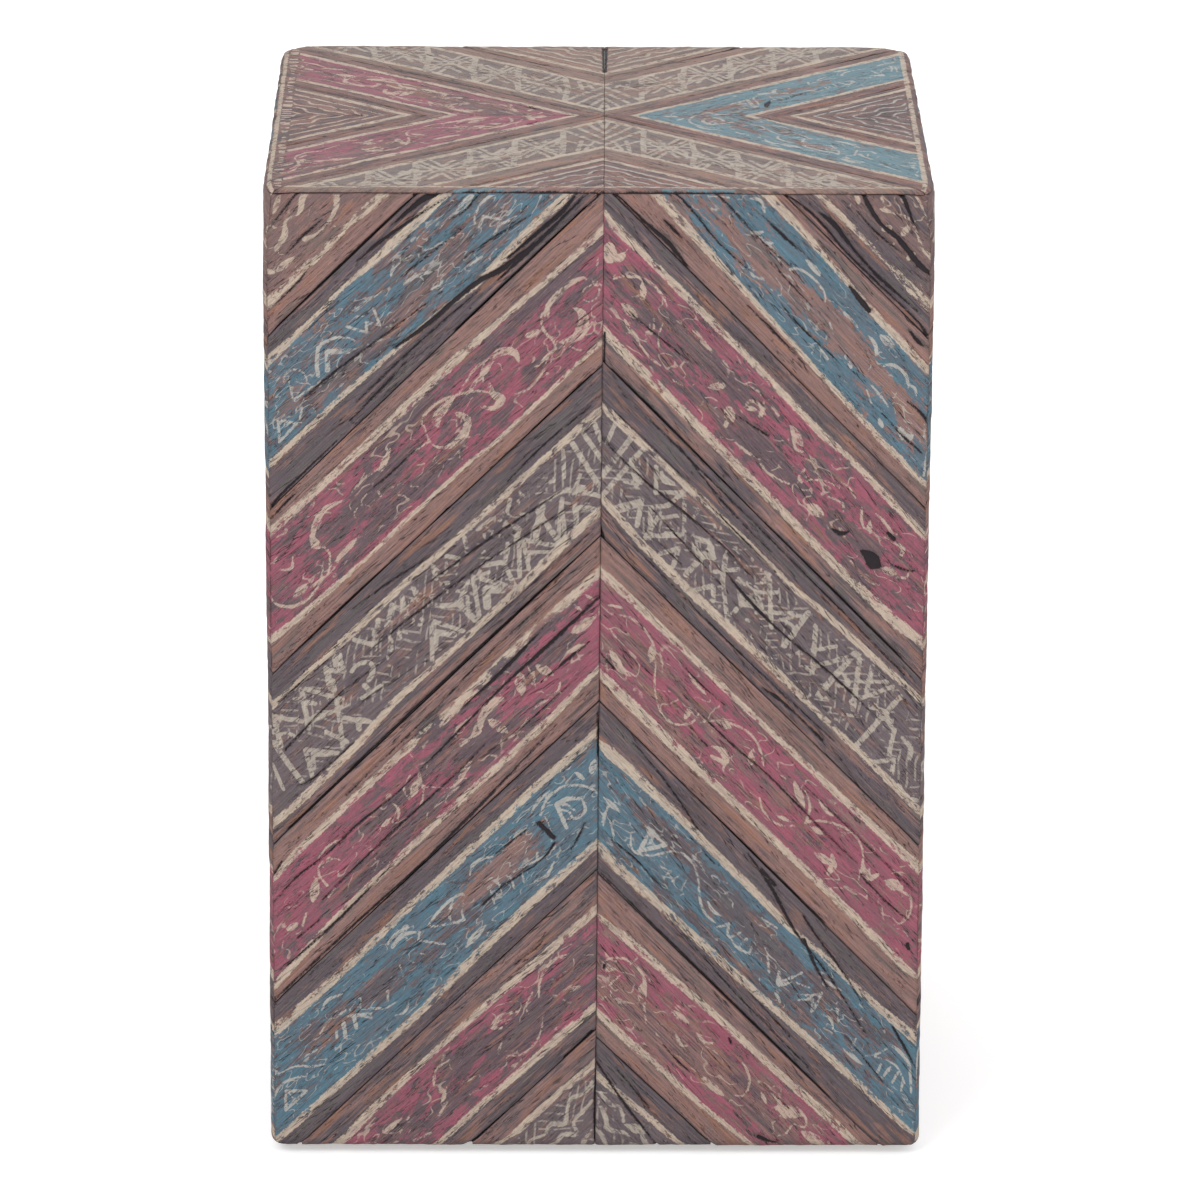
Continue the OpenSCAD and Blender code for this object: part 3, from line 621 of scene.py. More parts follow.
FRONT_PAINT[4, -1] = dict(
    top=((12, 14, 5), (60, 13, 5), (130, 14, 6), (160, 12, 4), (200, 12, 4), (240, 12, 4), (262, 14, 3)),
    bottom=((50, 52, 2.5), (90, 54, 4), (160, 53, 3.5), (200, 53, 3.5), (250, 53, 3), (275, 55, 4),
        (300, 57, 4)),
    tones=(0.75, 0.75), bare=0.2,
    strokes=[leaf(27, 24, 7, -75, 2), leaf(36, 23, 6, -80, 2), leaf(33, 30, 16, -8, 6),
        bar(24, 27, 30, 30, 2), leaf(47, 38, 12, -20, 3.5), leaf(72, 38, 11, -75, 5.5),
        bend((72, 22, 0.8), (78, 24, 1.2), (80, 30)), bar(78, 29, 84, 36, 1.2),
        leaf(92, 34, 13, -130, 6.5),
        bend((72, 43), (77, 46, 1.2), (86, 45, 1.4), (92, 44), (100, 46, 1.2), (110, 47, 1.4), (117, 45)),
        bend((93, 22), (99, 24, 2), (106, 23)),
        bend((101, 28, 3), (108, 26, 5.5), (116, 28, 4), (120, 31, 3)), leaf(112, 44, 13, -80, 6),
        bar(121, 29, 128, 32), bend((118, 24), (130, 23, 1.5), (134, 26)), bar(122, 33, 135, 31, 2),
        bend((135, 41), (145, 43, 3.5), (150, 45, 2), (156, 44, 1.2), (160, 40), (166, 33, 1.2)),
        bend((152, 47), (162, 46.5, 1.6), (170, 46)),
        bend((160, 24), (163, 28, 1.5), (168, 36, 1.3), (176, 41)), leaf(163, 28, 13, 25, 5),
        bend((166, 24), (174, 27), (176, 33)), bend((184, 28), (184, 33, 1.5), (188, 37, 1.6)),
        leaf(190, 34, 8, 0, 3), bend((217, 24, 0.8), (225, 21.5, 1.6), (235, 22.5)),
        bend((229, 26), (237, 26), (241, 30, 1.4), (242, 37, 1.6)), leaf(243, 30, 14, 35, 5.5),
        arc(233, 32, 6, 5, 180, 300), bar(240, 41, 246, 42, 1.2), leaf(268, 41, 8, -10, 4),
        bar(262, 33, 266, 31, 1.2), leaf(254, 8, 6, 60, 3), bar(261, 40, 268, 44, 1.2)],
    worn=((60, 15, 12, 3, 0.35), (90, 15, 14, 3, 0.35), (140, 14, 10, 5, 0.4), (62, 30, 14, 4, 0.3),
        (100, 45, 20, 3, 0.12), (128, 38, 14, 7, 0.3), (150, 28, 14, 4, 0.18), (195, 28, 24, 3, 0.18),
        (200, 46, 55, 4, 0.16), (45, 40, 40, 9, -0.08), (240, 30, 50, 16, -0.05)),
    patches=((62, 30, 16, 5, 0), (128, 38, 14, 7, 0), (90, 15, 14, 4, 0), (140, 14, 9, 5, 0),
        (200, 47, 45, 4, 0.1)),
    cracks=[bend((24, 24, 1.2), (60, 24, 2), (100, 23.5, 1.2), (135, 25), (180, 26, 0.8), (205, 24, 1.2),
            (230, 24, 0.8), (250, 22), (265, 23, 0.6)), bend((45, 38, 0.4), (60, 37, 1.6), (80, 36, 0.5)),
        bend((55, 15, 0.5), (85, 17, 2), (120, 17, 0.6)),
        bend((30, 6, 0.3), (90, 5, 0.8), (130, 7, 0.5), (200, 8, 0.8)),
        bend((125, 40, 0.3), (150, 41), (200, 40), (250, 41, 0.8)), bend((60, 48, 0.3), (110, 47, 0.8)),
        bend((100, 60, 0.3), (160, 63, 1.6), (200, 64, 1.2), (250, 63, 1.2), (310, 63, 0.8)),
        bend((90, 59, 0.3), (140, 62, 1.2)), bend((205, 53, 0.3), (250, 55, 1.4), (290, 54, 0.8)),
        bend((250, 10, 0.8), (258, 12), (262, 12, 0.3)), bend((255, 48, 0.3), (275, 47, 0.8))])
FRONT_PAINT[4, 1] = dict(
    top=((14, 14, 5), (40, 13, 4.5), (90, 12.5, 3.5), (140, 12, 3), (190, 11, 4), (215, 10, 4),
        (255, 9, 5.5)),
    bottom=((50, 54, 4), (70, 54.5, 6), (110, 54.5, 5.5), (170, 53.5, 4), (250, 53, 4.5), (290, 54, 4),
        (300, 53, 2)),
    tones=(0.8, 0.85), bare=0.5,
    strokes=[bend((38, 24), (44, 20.5, 1.4), (54, 20, 1.4), (62, 22, 1.2), (69, 26), (75, 33, 1.1),
            (82, 40, 1.1), (90, 45, 1.2), (98, 47, 1.2), (105, 44, 1.2), (109, 38, 1.3), (108, 32)),
        leaf(62, 22, 12, 50, 4.5), bar(36, 20, 30, 24),
        bend((47, 40), (55, 43, 4.5), (62, 44.5, 3.5), (70, 41)), bend((40, 33), (46, 34, 1.4)),
        leaf(105, 40, 8, -110, 4),
        bend((112, 35), (118, 28, 1.6), (124, 24, 1.4), (132, 21, 1.4), (140, 21, 1.4), (148, 24, 1.2),
            (154, 28)), leaf(118, 30, 10, -30, 4), leaf(143, 25, 10, 55, 4.5),
        bend((88, 20), (95, 21.5, 2.6), (103, 22)),
        bend((126, 40), (132, 38, 3.5), (138, 41, 3), (130, 44, 2)),
        bend((138, 38), (139, 44, 1.6), (142, 46)),
        bend((165, 42), (172, 46, 1.2), (182, 46, 1.2), (190, 40)), leaf(178, 43, 10, -20, 2.4),
        leaf(171, 22, 18, 25, 4.5), bend((180, 22), (188, 26, 1.6), (193, 34, 1.6)),
        bend((188, 20), (196, 22, 1.8), (201, 21)),
        bend((193, 35, 1.2), (197, 29, 1.5), (204, 24, 1.4), (212, 21, 1.4), (221, 21, 1.4),
            (228, 25, 1.2), (233, 31, 1.1), (237, 38)), leaf(196, 34, 9, -10, 3), leaf(230, 28, 9, 30, 3),
        bend((236, 28), (240, 32, 3.5), (242, 27, 2)), leaf(208, 43, 13, -10, 4.5),
        bend((216, 37, 1.5), (221, 41, 4.5), (222, 46, 2)), bend((222, 47), (230, 46)),
        leaf(247, 27, 11, -20, 6.5),
        bend((257, 25, 1.4), (264, 24, 1.6), (270, 30, 1.4), (271, 36, 1.2), (268, 42, 0.9)),
        bend((245, 20), (252, 18)), bend((66, 28), (70, 24, 1.2), (78, 30))],
    worn=((62, 30, 16, 4, 0.1), (100, 30, 22, 4, 0.08), (150, 33, 26, 4, 0.1), (210, 18, 16, 3, 0.1),
        (120, 50, 24, 3, 0.06), (200, 38, 20, 3, 0.08), (100, 22, 60, 5, -0.05),
        (230, 35, 60, 16, -0.05)),
    cracks=[bend((95, 31, 0.4), (130, 32), (160, 30, 0.8), (200, 31), (230, 31, 0.6)),
        bend((235, 34, 0.8), (255, 35), (272, 34, 0.8)),
        bend((178, 20, 0.3), (210, 20, 0.8), (262, 20, 0.8)), bend((25, 27, 2), (28, 30)),
        bend((80, 19, 0.3), (95, 20, 0.8), (115, 19, 0.3)), bend((46, 46, 0.5), (58, 47, 1.4)),
        bend((58, 59, 0.5), (66, 68, 1.5)), bend((90, 67, 0.4), (180, 67), (240, 67, 0.6)),
        bend((55, 36, 0.3), (75, 35, 0.6)), bend((110, 41, 0.3), (125, 42, 0.7)),
        bend((282, 44, 2.5), (284, 45, 2))])
FRONT_PAINT[5, -1] = dict(
    top=((14, 12, 5), (60, 11, 4.5), (120, 12, 4.5), (160, 12, 4), (200, 13, 4), (225, 12.5, 5),
        (262, 11, 7)),
    bottom=((57, 57, 4), (90, 56.5, 5), (150, 57, 5), (190, 59, 4), (240, 58, 4), (270, 57.5, 4),
        (300, 57, 4)),
    tones=(0.1, 0.12), bare=0.12,
    strokes=[leaf(24, 22, 9, 30, 4.5), leaf(37, 19, 8, 95, 2.5),
        bend((37, 38, 1.2), (37, 33, 1.6), (41, 26, 1.6), (48, 21, 1.6), (58, 20, 1.6), (67, 24, 1.2)),
        bend((45, 33, 1.6), (50, 28, 2.6), (56, 26, 2.6)),
        bend((45, 34, 1.5), (48, 39, 2), (54, 39, 2), (58, 36)), bar(57, 26, 62, 39, 2.4),
        bend((52, 37), (53, 30, 1.6), (57, 27)), bend((56, 38, 1.2), (55, 33, 1.4), (58, 29)),
        bend((54, 18), (62, 17.5, 2.2), (70, 20)), bend((66, 26), (68, 32, 1.2), (73, 39, 1.4)),
        bend((72, 42), (80, 43, 1.6), (90, 40, 1.4), (100, 37, 1.2)), bar(83, 38, 86, 41, 1.3),
        bar(97, 41, 100, 45, 1.3), bar(103, 38, 106, 44, 1.3), bar(110, 36, 113, 42, 1.3),
        bar(116, 36, 120, 43, 1.3), bend((78, 24), (84, 23, 2.2), (88, 25)),
        bend((102, 23), (107, 20, 2), (113, 19, 2.2), (118, 22)),
        bend((127, 27, 1.4), (134, 25, 1.6), (145, 25, 1.6), (155, 27, 1.4)),
        bend((128, 28, 1.2), (135, 33, 1.4), (138, 38, 1.4)),
        bend((154, 28, 1.2), (147, 33, 1.4), (138, 38, 1.6)), bend((137, 27), (143, 32, 1.4), (142, 37)),
        leaf(131, 48, 17, 5, 4), bend((80, 48), (88, 51, 2), (96, 49)),
        chain([(155, 41), (164, 29), (160, 26)]), bend((160, 26), (168, 21, 2.4), (177, 22, 2)),
        bend((162, 20), (170, 18, 2), (178, 19)), bar(170, 33, 166, 38, 1), bar(176, 33, 174, 38, 1),
        bar(181, 32, 184, 38, 1), bar(196, 38, 200, 42, 1.6),
        bend((196, 46), (204, 44, 1.4), (210, 38, 1.4)), bend((215, 22), (223, 19, 2), (230, 21)),
        chain([(211, 41), (217, 36), (222, 33)]), bar(219, 35, 223, 41, 2.4), bar(226, 34, 231, 41, 2.4),
        bar(213, 43, 217, 37, 1.6), bar(232, 35, 235, 38), bar(220, 30, 228, 29, 1.2),
        bend((193, 51), (198, 53, 1.4), (203, 51, 0.8)), bend((223, 27), (232, 28), (240, 30)),
        bend((250, 44), (256, 40, 1.4), (262, 34, 1.4), (270, 31)), leaf(271, 31, 8, -40, 4),
        bend((262, 42), (268, 38, 1.4), (277, 36, 1.6), (287, 40, 1.6), (293, 45)),
        chain([(268, 48), (276, 40), (284, 48)], 1.8, True), bar(276, 40, 276, 48, 1.2),
        bar(247, 35, 257, 33, 1)],
    worn=((105, 31, 28, 5, 0.4), (190, 35, 40, 6, 0.08), (230, 30, 30, 6, 0.06), (60, 30, 30, 12, -0.1),
        (240, 46, 60, 8, -0.08), (170, 20, 60, 5, -0.08), (80, 50, 60, 5, -0.08)),
    patches=((105, 31, 32, 7, 0.85),),
    cracks=[bend((73, 41, 1.5), (85, 43), (110, 39), (125, 39, 1.2)), bend((71, 27, 2.4), (71, 38, 2.8)),
        bend((53, 44, 0.4), (60, 47), (70, 50, 0.4)), bend((5, 4, 0.8), (15, 15, 1.4), (22, 22)),
        bend((78, 25, 0.6), (90, 24), (100, 23, 0.3))])
FRONT_PAINT[5, 1] = dict(
    top=((18, 16, 3), (24, 16, 6.5), (40, 15, 6), (80, 14.5, 4.5), (140, 14.5, 4.5), (165, 15, 3.5),
        (185, 13, 3), (230, 12, 4), (258, 9.5, 6)),
    bottom=((57, 57, 5), (75, 58, 6), (110, 56.5, 4.5), (160, 54.5, 4.5), (200, 52.5, 4), (250, 50, 4),
        (290, 49, 3), (300, 48, 2)),
    tones=(0.1, 0.12), bare=0.12,
    strokes=[leaf(40, 36, 14, -3, 3), bend((41, 42), (48, 43, 1.6), (52, 47)), bar(46, 38, 50, 46),
        bend((53, 43), (60, 47, 1.4)), bend((68, 31, 1.2), (74, 31, 2), (77, 36, 2)),
        chain([(72, 31), (84, 30), (76, 43)], 2.4, True),
        bend((66, 40), (72, 45, 1.4), (78, 44, 1.4), (84, 38, 1.4), (89, 30, 1.4), (96, 27, 1.4),
            (104, 28, 1.4), (111, 32, 1.4), (118, 38, 1.6), (126, 42, 1.6), (134, 42, 1.4)),
        bar(97, 36, 96, 42, 1.2), bar(101, 36, 101, 42, 1.2), bar(106, 37, 108, 42, 1.2),
        bar(90, 41, 96, 39, 1.2), leaf(96, 24, 14, 8, 3), bend((122, 36), (128, 38, 2.2), (134, 37)),
        chain([(137, 43), (140, 37), (144, 42)], 1.6), bar(148, 36, 146, 42), bar(153, 36, 154, 43, 1.8),
        bar(158, 37, 160, 41), bend((145, 42), (154, 43, 1.4), (162, 40)),
        bend((166, 33), (172, 38, 1.6), (176, 41)), bar(180, 37, 184, 41, 2), bar(188, 28, 184, 40, 1.6),
        bend((178, 36), (184, 42, 1.8), (188, 36)), bend((195, 38), (200, 34, 1.4), (204, 29, 1.6)),
        bar(204, 28, 208, 38), chain([(198, 40), (203, 34), (208, 40)]),
        bend((212, 37), (218, 35, 2), (223, 38)), bend((216, 28), (222, 33, 1.4)),
        bar(197, 31, 190, 34, 1), leaf(234, 42, 16, -5, 2.6), bar(236, 33, 238, 38, 1.2),
        bend((247, 36), (251, 29, 1.4), (252, 24)),
        bend((250, 22, 1.2), (258, 21, 2.2), (266, 22, 2.2), (273, 27, 1.8), (280, 33, 1.4)),
        bar(256, 33, 258, 38, 1.6), bar(261, 31, 262, 37, 1.6), bar(266, 30, 268, 36, 1.6),
        bar(271, 31, 275, 36), bend((250, 33), (262, 28, 1.2), (274, 32)), bar(186, 46, 192, 48),
        bend((54, 22), (60, 23, 1.2)), bar(150, 22, 160, 20, 1.2), bar(200, 22, 210, 20)],
    worn=((110, 25, 60, 5, 0.15), (60, 28, 30, 5, 0.12), (160, 30, 40, 7, 0.15), (230, 25, 35, 6, 0.15),
        (140, 48, 60, 3, 0.1), (220, 42, 40, 4, 0.05), (40, 30, 30, 12, -0.12), (280, 30, 30, 15, -0.1),
        (150, 20, 90, 4, -0.1), (100, 44, 60, 5, -0.08)),
    cracks=[bend((30, 3, 0.3), (60, 6), (90, 12, 0.6)),
        bend((118, 2, 0.5), (140, 6, 1.6), (160, 12, 1.6), (172, 15, 1.2), (195, 18), (215, 22, 0.8),
            (240, 28, 0.3)), bend((130, 3, 1.2), (142, 4, 2)),
        bend((165, 5), (180, 8, 1.2), (205, 12, 0.8), (225, 17, 0.5)),
        bend((175, 14, 1.5), (190, 20, 1.4), (205, 24, 0.8)),
        bend((245, 14), (260, 18, 1.6), (272, 21, 0.5)), bend((90, 18, 0.3), (110, 19, 0.6)),
        bend((60, 50, 0.4), (75, 48), (100, 49, 0.5)),
        bend((70, 67, 0.6), (180, 67, 1.2), (250, 67, 0.8)),
        bend((120, 58, 0.3), (170, 62, 0.8), (230, 63, 0.4)), bend((170, 56, 0.3), (210, 58, 0.8)),
        bend((0, 2), (12, 14, 1.4), (24, 26)), bend((230, 36, 0.3), (250, 38, 0.8), (265, 40, 0.3))])
FRONT_PAINT[6, -1] = dict(
    top=((18, 16, 4.5), (60, 15, 4.5), (100, 13.5, 4), (140, 13, 3), (180, 13, 4.5), (222, 15.5, 5)),
    bottom=((57, 55.5, 4), (80, 54.5, 4.5), (110, 54, 4), (140, 52.5, 3.5), (180, 52.5, 3)),
    tones=(0.45, 0.3), bare=0.15,
    strokes=[bend((45, 24), (51, 21, 1.6), (60, 21.5, 1.8), (68, 25, 1.4), (74, 31, 1.2)),
        bend((74, 26), (82, 29, 1.2), (84, 33)),
        bend((86, 29), (91, 26, 1.6), (97, 24, 3.4), (104, 25, 2), (100, 29, 1.5)),
        bend((80, 40), (86, 45, 1.2), (94, 48, 1.2), (104, 47, 1.2), (109, 42)),
        bend((133, 22), (142, 21, 1.4), (147, 24, 1.6), (150, 27)), leaf(52, 42, 10, -20, 2.5),
        bar(56, 38, 64, 37, 1.2), bar(105, 34, 112, 38, 1.2), bar(128, 40, 138, 36),
        leaf(145, 32, 12, 30, 2.4), bar(150, 38, 160, 41), leaf(175, 28, 14, -5, 3.2),
        bar(172, 30, 182, 33, 1.2), bar(187, 36, 192, 34, 1.6), bar(170, 45, 180, 42),
        bar(128, 47, 140, 44, 1.2)],
    worn=((40, 30, 12, 6, 0.25), (90, 37, 30, 6, 0.25), (125, 26, 20, 5, 0.2), (150, 40, 25, 5, 0.15),
        (180, 32, 15, 5, 0.15), (60, 46, 20, 4, 0.1)),
    cracks=[bend((67, 65, 2.5), (75, 65, 1.2), (88, 65)),
        bend((125, 66, 0.6), (150, 65, 1.2), (170, 64, 0.5)), bend((50, 9, 0.3), (70, 8, 0.5))])
FRONT_PAINT[6, 1] = dict(
    top=((15, 17, 2.5), (35, 15, 4.5), (70, 13, 4), (100, 11, 4), (150, 9.5, 4), (185, 8, 5),
        (215, 8, 4)),
    bottom=((55, 55.5, 3.5), (80, 55, 4.5), (110, 53.5, 4), (135, 52.5, 3), (160, 50, 2.5), (185, 48, 3)),
    tones=(0.7, 0.85), bare=0.6,
    strokes=[bend((38, 32, 1.2), (41, 27, 1.5), (46, 23, 1.6), (54, 22, 1.6), (61, 24, 2), (67, 30, 3),
            (72, 35, 1.4), (80, 41)), leaf(62, 27, 10, 50, 4.5),
        bend((38, 33, 1.5), (42, 35, 3), (46, 31, 1.4)), bend((50, 32), (50, 38, 1.6), (48, 44)),
        bar(52, 40, 56, 45, 1.2), leaf(84, 26, 13, -6, 4), bend((84, 22), (90, 21)),
        bend((103, 25), (110, 26, 2.2), (114, 23)),
        bend((133, 19.5), (139, 21, 1.6), (145, 26, 1.4), (147, 32, 1.2), (143, 36)),
        bend((126, 29), (136, 28), (141, 30, 0.8)), leaf(122, 41, 18, -3, 4.5),
        bend((96, 34, 1.5), (102, 36, 2), (106, 33)), leaf(152, 24, 8, 20, 2.5),
        bend((156, 20), (164, 21, 2.5), (168, 25, 4.5), (174, 21, 4), (178, 17)),
        leaf(163, 26, 14, -35, 6), bend((172, 16), (180, 17, 1.4), (184, 21, 1.2), (178, 24)),
        leaf(184, 24, 16, -10, 6.5), bend((178, 26, 1.2), (179, 31, 1.4), (177, 35)),
        bar(199, 18, 204, 21)],
    worn=((80, 44, 40, 4, 0.15), (130, 27, 25, 4, 0.2), (170, 34, 30, 4, 0.15), (100, 37, 40, 4, 0.15),
        (60, 35, 15, 4, 0.12)),
    cracks=[bend((170, 43, 2.5), (177, 41, 2), (180, 39)), bend((40, 34, 1.8), (41, 35, 1.5)),
        bend((95, 43, 0.4), (110, 44), (120, 43, 0.4)), bend((150, 20, 0.4), (170, 20, 0.6)),
        bend((0, 3), (30, 32, 1.2), (60, 63, 1.2)), bend((66, 67), (90, 66), (150, 65, 0.8)),
        bend((118, 15), (121, 16, 1.2))])
FRONT_PAINT[7, -1] = dict(
    top=((15, 13.5, 4), (40, 12, 3.5), (70, 12, 4), (78, 11, 1.5), (90, 10, 3.5), (100, 9, 3)),
    bottom=NO_FOOT_LINE, tones=(0.55, 0.5), bare=0.5,
    strokes=[bend((22, 20, 1.2), (30, 22, 1.6), (37, 19, 1.6), (43, 22, 1.4), (50, 27, 2.2), (56, 22, 2),
            (62, 24, 1.2), (70, 21, 1.6), (75, 24, 1.4)),
        bend((30, 28, 1.2), (38, 29, 1.8), (46, 30), (49, 36, 2.4), (55, 31, 2), (62, 32, 1.6),
            (70, 29, 1.2)), bend((42, 40, 1.5), (48, 41, 2.5), (54, 45, 2)), bar(24, 22, 20, 25, 1.2)],
    worn=(),
    cracks=[bend((0, 2, 2), (15, 16, 1.2), (30, 30), (45, 46))])
FRONT_PAINT[7, 1] = dict(
    top=((18, 15.5, 4), (50, 13, 3.5), (75, 12, 3), (85, 11, 3)),
    bottom=NO_FOOT_LINE, tones=(0.1, 0.1), bare=0.1,
    strokes=[bend((24, 21, 1.2), (32, 22, 2), (38, 20, 1.6), (45, 24)), leaf(47, 25, 13, -25, 5),
        bend((58, 23, 2), (65, 26, 2.4), (70, 28, 1.2)),
        bend((30, 27, 1.4), (36, 29, 2.2), (42, 33, 2.4), (49, 29, 1.8), (53, 28)),
        leaf(56, 31, 10, -10, 3), bend((35, 38, 1.2), (42, 38, 2), (50, 42, 2)),
        bar(40, 34, 44, 33, 1.2)],
    worn=(),
    cracks=[bend((10, 10), (40, 17, 1.4), (60, 20), (75, 24, 0.6)),
        bend((0, 2, 1.5), (20, 22, 1.5), (42, 46, 1.2)), bend((20, 5, 0.3), (50, 9, 0.8))])

# Rows whose ornament another side's row of that number may repeat.
SAME_ORNAMENT = ((0,), (1, 5), (2, 4), (3,), (2, 4), (5,), (2, 4), (7,))


# The painted top

# Where the cream line beside each edge of the top runs and how wide it is.
TOP_EDGE_LINE = {"front": (9.5, 2.6), "right": (5.5, 3.0), "back": (5, 1.4), "left": (3.4, 2.6)}


def on_top(*points, w=1.5, base=0.0):
    """A line on the top: each point is off the middle and off the centre, mm."""
    return [((a + e) / DIAGONAL, (e - a) / DIAGONAL - base, w) for a, e in points]


def post_lattice(rng):
    """Panels between upright posts, each with crossed bars and small triangles."""
    strokes = [on_top((20, 38), (0, 71), w=2.6), on_top((14, 30), (0, 57), w=2.2),
               on_top((8, 22), (0, 43), w=2.2), on_top((3, 14), (0, 30), w=2),
               on_top((12, 62), (14, 86), w=2), on_top((2, 79), (20, 62), w=2),
               on_top((6, 66), (10, 82), w=1.6)]
    posts = [a + rng.uniform(-1.5, 1.5) for a in (22, 47, 72, 98, 124, 150)]
    for a0, a1 in zip(posts, posts[1:]):
        m, c, r = (a0 + a1) / 2, (a0 + a1) / 2 + 44, rng.uniform(-2, 2)
        strokes += [
            on_top((a0, a0 + 12), (a0 + r, a0 + 44), (a0, a0 + 74), w=2.8),
            on_top((a0, c - 25 + r), (a1, c + 25 + r), w=2.2),
            on_top((a0, c + 22), (a1, c - 22 + r), w=2.2),
            on_top((a0, c - 4), (a1, c - 3 + r / 2), w=1.8),
            on_top((a0, c + 3), (a1, c + 4 + r / 2), w=1.8),
            on_top((m - 6, c - 22), (m + r, c - 8), (m + 6, c - 22), w=2),
            on_top((m - 6, c + 22), (m - r, c + 8), (m + 6, c + 22), w=2),
            on_top((a0 + 2, c - 24), (a0 + 3, c - 10), w=1.6),
            on_top((a1 - 3, c + 8), (a1 - 3, c + 26), w=1.6),
            on_top((a0 + 2, c - 11), (a0 + 9, c), (a0 + 2, c + 11), w=1.6),
            on_top((a1 - 2, c - 11), (a1 - 9, c), (a1 - 2, c + 11), w=1.6)]
    return strokes


def top_paint(side, half, kind, rng):
    """The paint of one board of the top, seen from its own side; half -1 is its left."""
    plain = side in ("front", "back")
    base = BOARD_W if kind == "end" else 0
    given = {"tones": (0.6, 0.65), "bare": 0.62 if plain else 0.5, "seam": 1.12, "cracks": []}
    if kind == "end":
        line = 6.7 if plain else 7.5
        given.update(top=((0, line, 4), (255, line, 4)), bottom=((0, 90, 1), (255, 90, 1)),
                     strokes=waves(rng))
    else:
        top, bottom = (8, 53.6) if plain else (11, 57.5)
        given.update(top=((0, top, 3.4), (130, top + 0.8, 4), (250, top, 4)),
                     bottom=((0, bottom, 4), (120, bottom - 1, 3.6), (250, bottom, 4.4)))
        if plain:
            given["strokes"] = post_lattice(rng)
        else:
            rows = (2, 4) if side == "left" else (5, 1)
            given["strokes"] = [stroke for row in rows for stroke in FRONT_PAINT[row, half]["strokes"]]
    given["worn"] = [(rng.uniform(10, 240), rng.uniform(16, 50), rng.uniform(15, 40),
                      rng.uniform(3, 7), rng.uniform(0.03, 0.14)) for _ in range(6)]
    if side == "front" and kind == "end":
        given["cracks"] = [on_top((0.5, HALF - 1.0), (30, HALF - 1.6), (73, HALF - 1.2),
                                  w=2.4, base=base)]
        given["spill"] = (29, 78, 6.5) if half < 0 else (31, 70, 6.5)
    if side == "back":
        given["cracks"] = [on_top((0, 108), (0, 135), (0.4, 170), w=2.2, base=base)]
        if half < 0 and kind == "band":
            given["patches"] = ((64, 49, 7, 7, 0.0),)
            given["worn"].append((64, 49, 6, 6, 0.5))
    if side == "right" and kind == "band":
        if half > 0:
            given["cracks"] = [bend((80, 49), (85, 44, 3), (92, 40, 1.5)),
                               bend((84, 46, 0.4), (120, 40, 1.2), (150, 41, 0.4))]
        given["patches"] = ((60, 35, 30, 6, 0.7), (130, 30, 25, 5, 0.8))
        given["worn"] = [(60, 35, 22, 4, 0.13), (130, 30, 20, 4, 0.15), (200, 34, 60, 20, -0.1),
                         (100, 22, 60, 6, -0.08)]
    if side == "left":
        given["cracks"] = [bend((34, 14, 0.4), (40, 15, 2), (46, 13, 0.5))]
    return given


# Board shapes

def turned(points, side):
    """Turns points of the front about the block's axis to another side."""
    x, y, z = points.T
    for _ in range(SIDES.index(side)):
        x, y = -y, x
    return np.column_stack((x, y, z))


def round_depth(gap, r):
    """How far a round of radius r lies behind its plane, gap short of the plane's edge."""
    return r - np.sqrt(np.maximum(r ** 2 - np.clip(r - gap, 0, r) ** 2, 0))


def end_depth(s):
    """How far the rounds at the top and the foot draw a side in, s below the top."""
    return round_depth(s, TOP_R) + round_depth(LOW - s, BASE_R)


def side_depth(a, s):
    """How far the worn round of the block lies behind the side's plane."""
    left = CORNER_R - end_depth(s)
    turn = np.clip(CORNER_R - (HALF - a), 0, left)
    return CORNER_R - np.sqrt(np.maximum(left ** 2 - turn ** 2, 0))


def edge_limit(s):
    """Where a side board ends on the mitre of the upright edge."""
    return HALF - (CORNER_R - (CORNER_R - end_depth(s)) / DIAGONAL) - SEAM_GAP / 2


def unroll_foot(h):
    """Distance along the surface from the boards' lower end, for a height h over it."""
    rolled = BASE_R * np.arccos(np.clip(1 - h / BASE_R, 0, 1))
    return np.where(h < BASE_R, rolled, h - BASE_R + FOOT_ARC)


def roll_foot(w):
    """The height over the boards' lower end, for a distance w along the surface."""
    return np.where(w < FOOT_ARC, BASE_R * (1 - np.cos(w / BASE_R)), w - FOOT_ARC + BASE_R)


def shares(length, step):
    """Places from 0 to 1 along a length, closer together at both ends."""
    if length < 8 * step:
        return np.linspace(0, 1, max(4, int(length / step)))
    ends = np.array([0, 0.4, 1.0])
    inner = np.linspace(2.0, length - 2.0, max(3, int((length - 4) / step)))
    return np.concatenate((ends, inner, length - ends[::-1])) / length


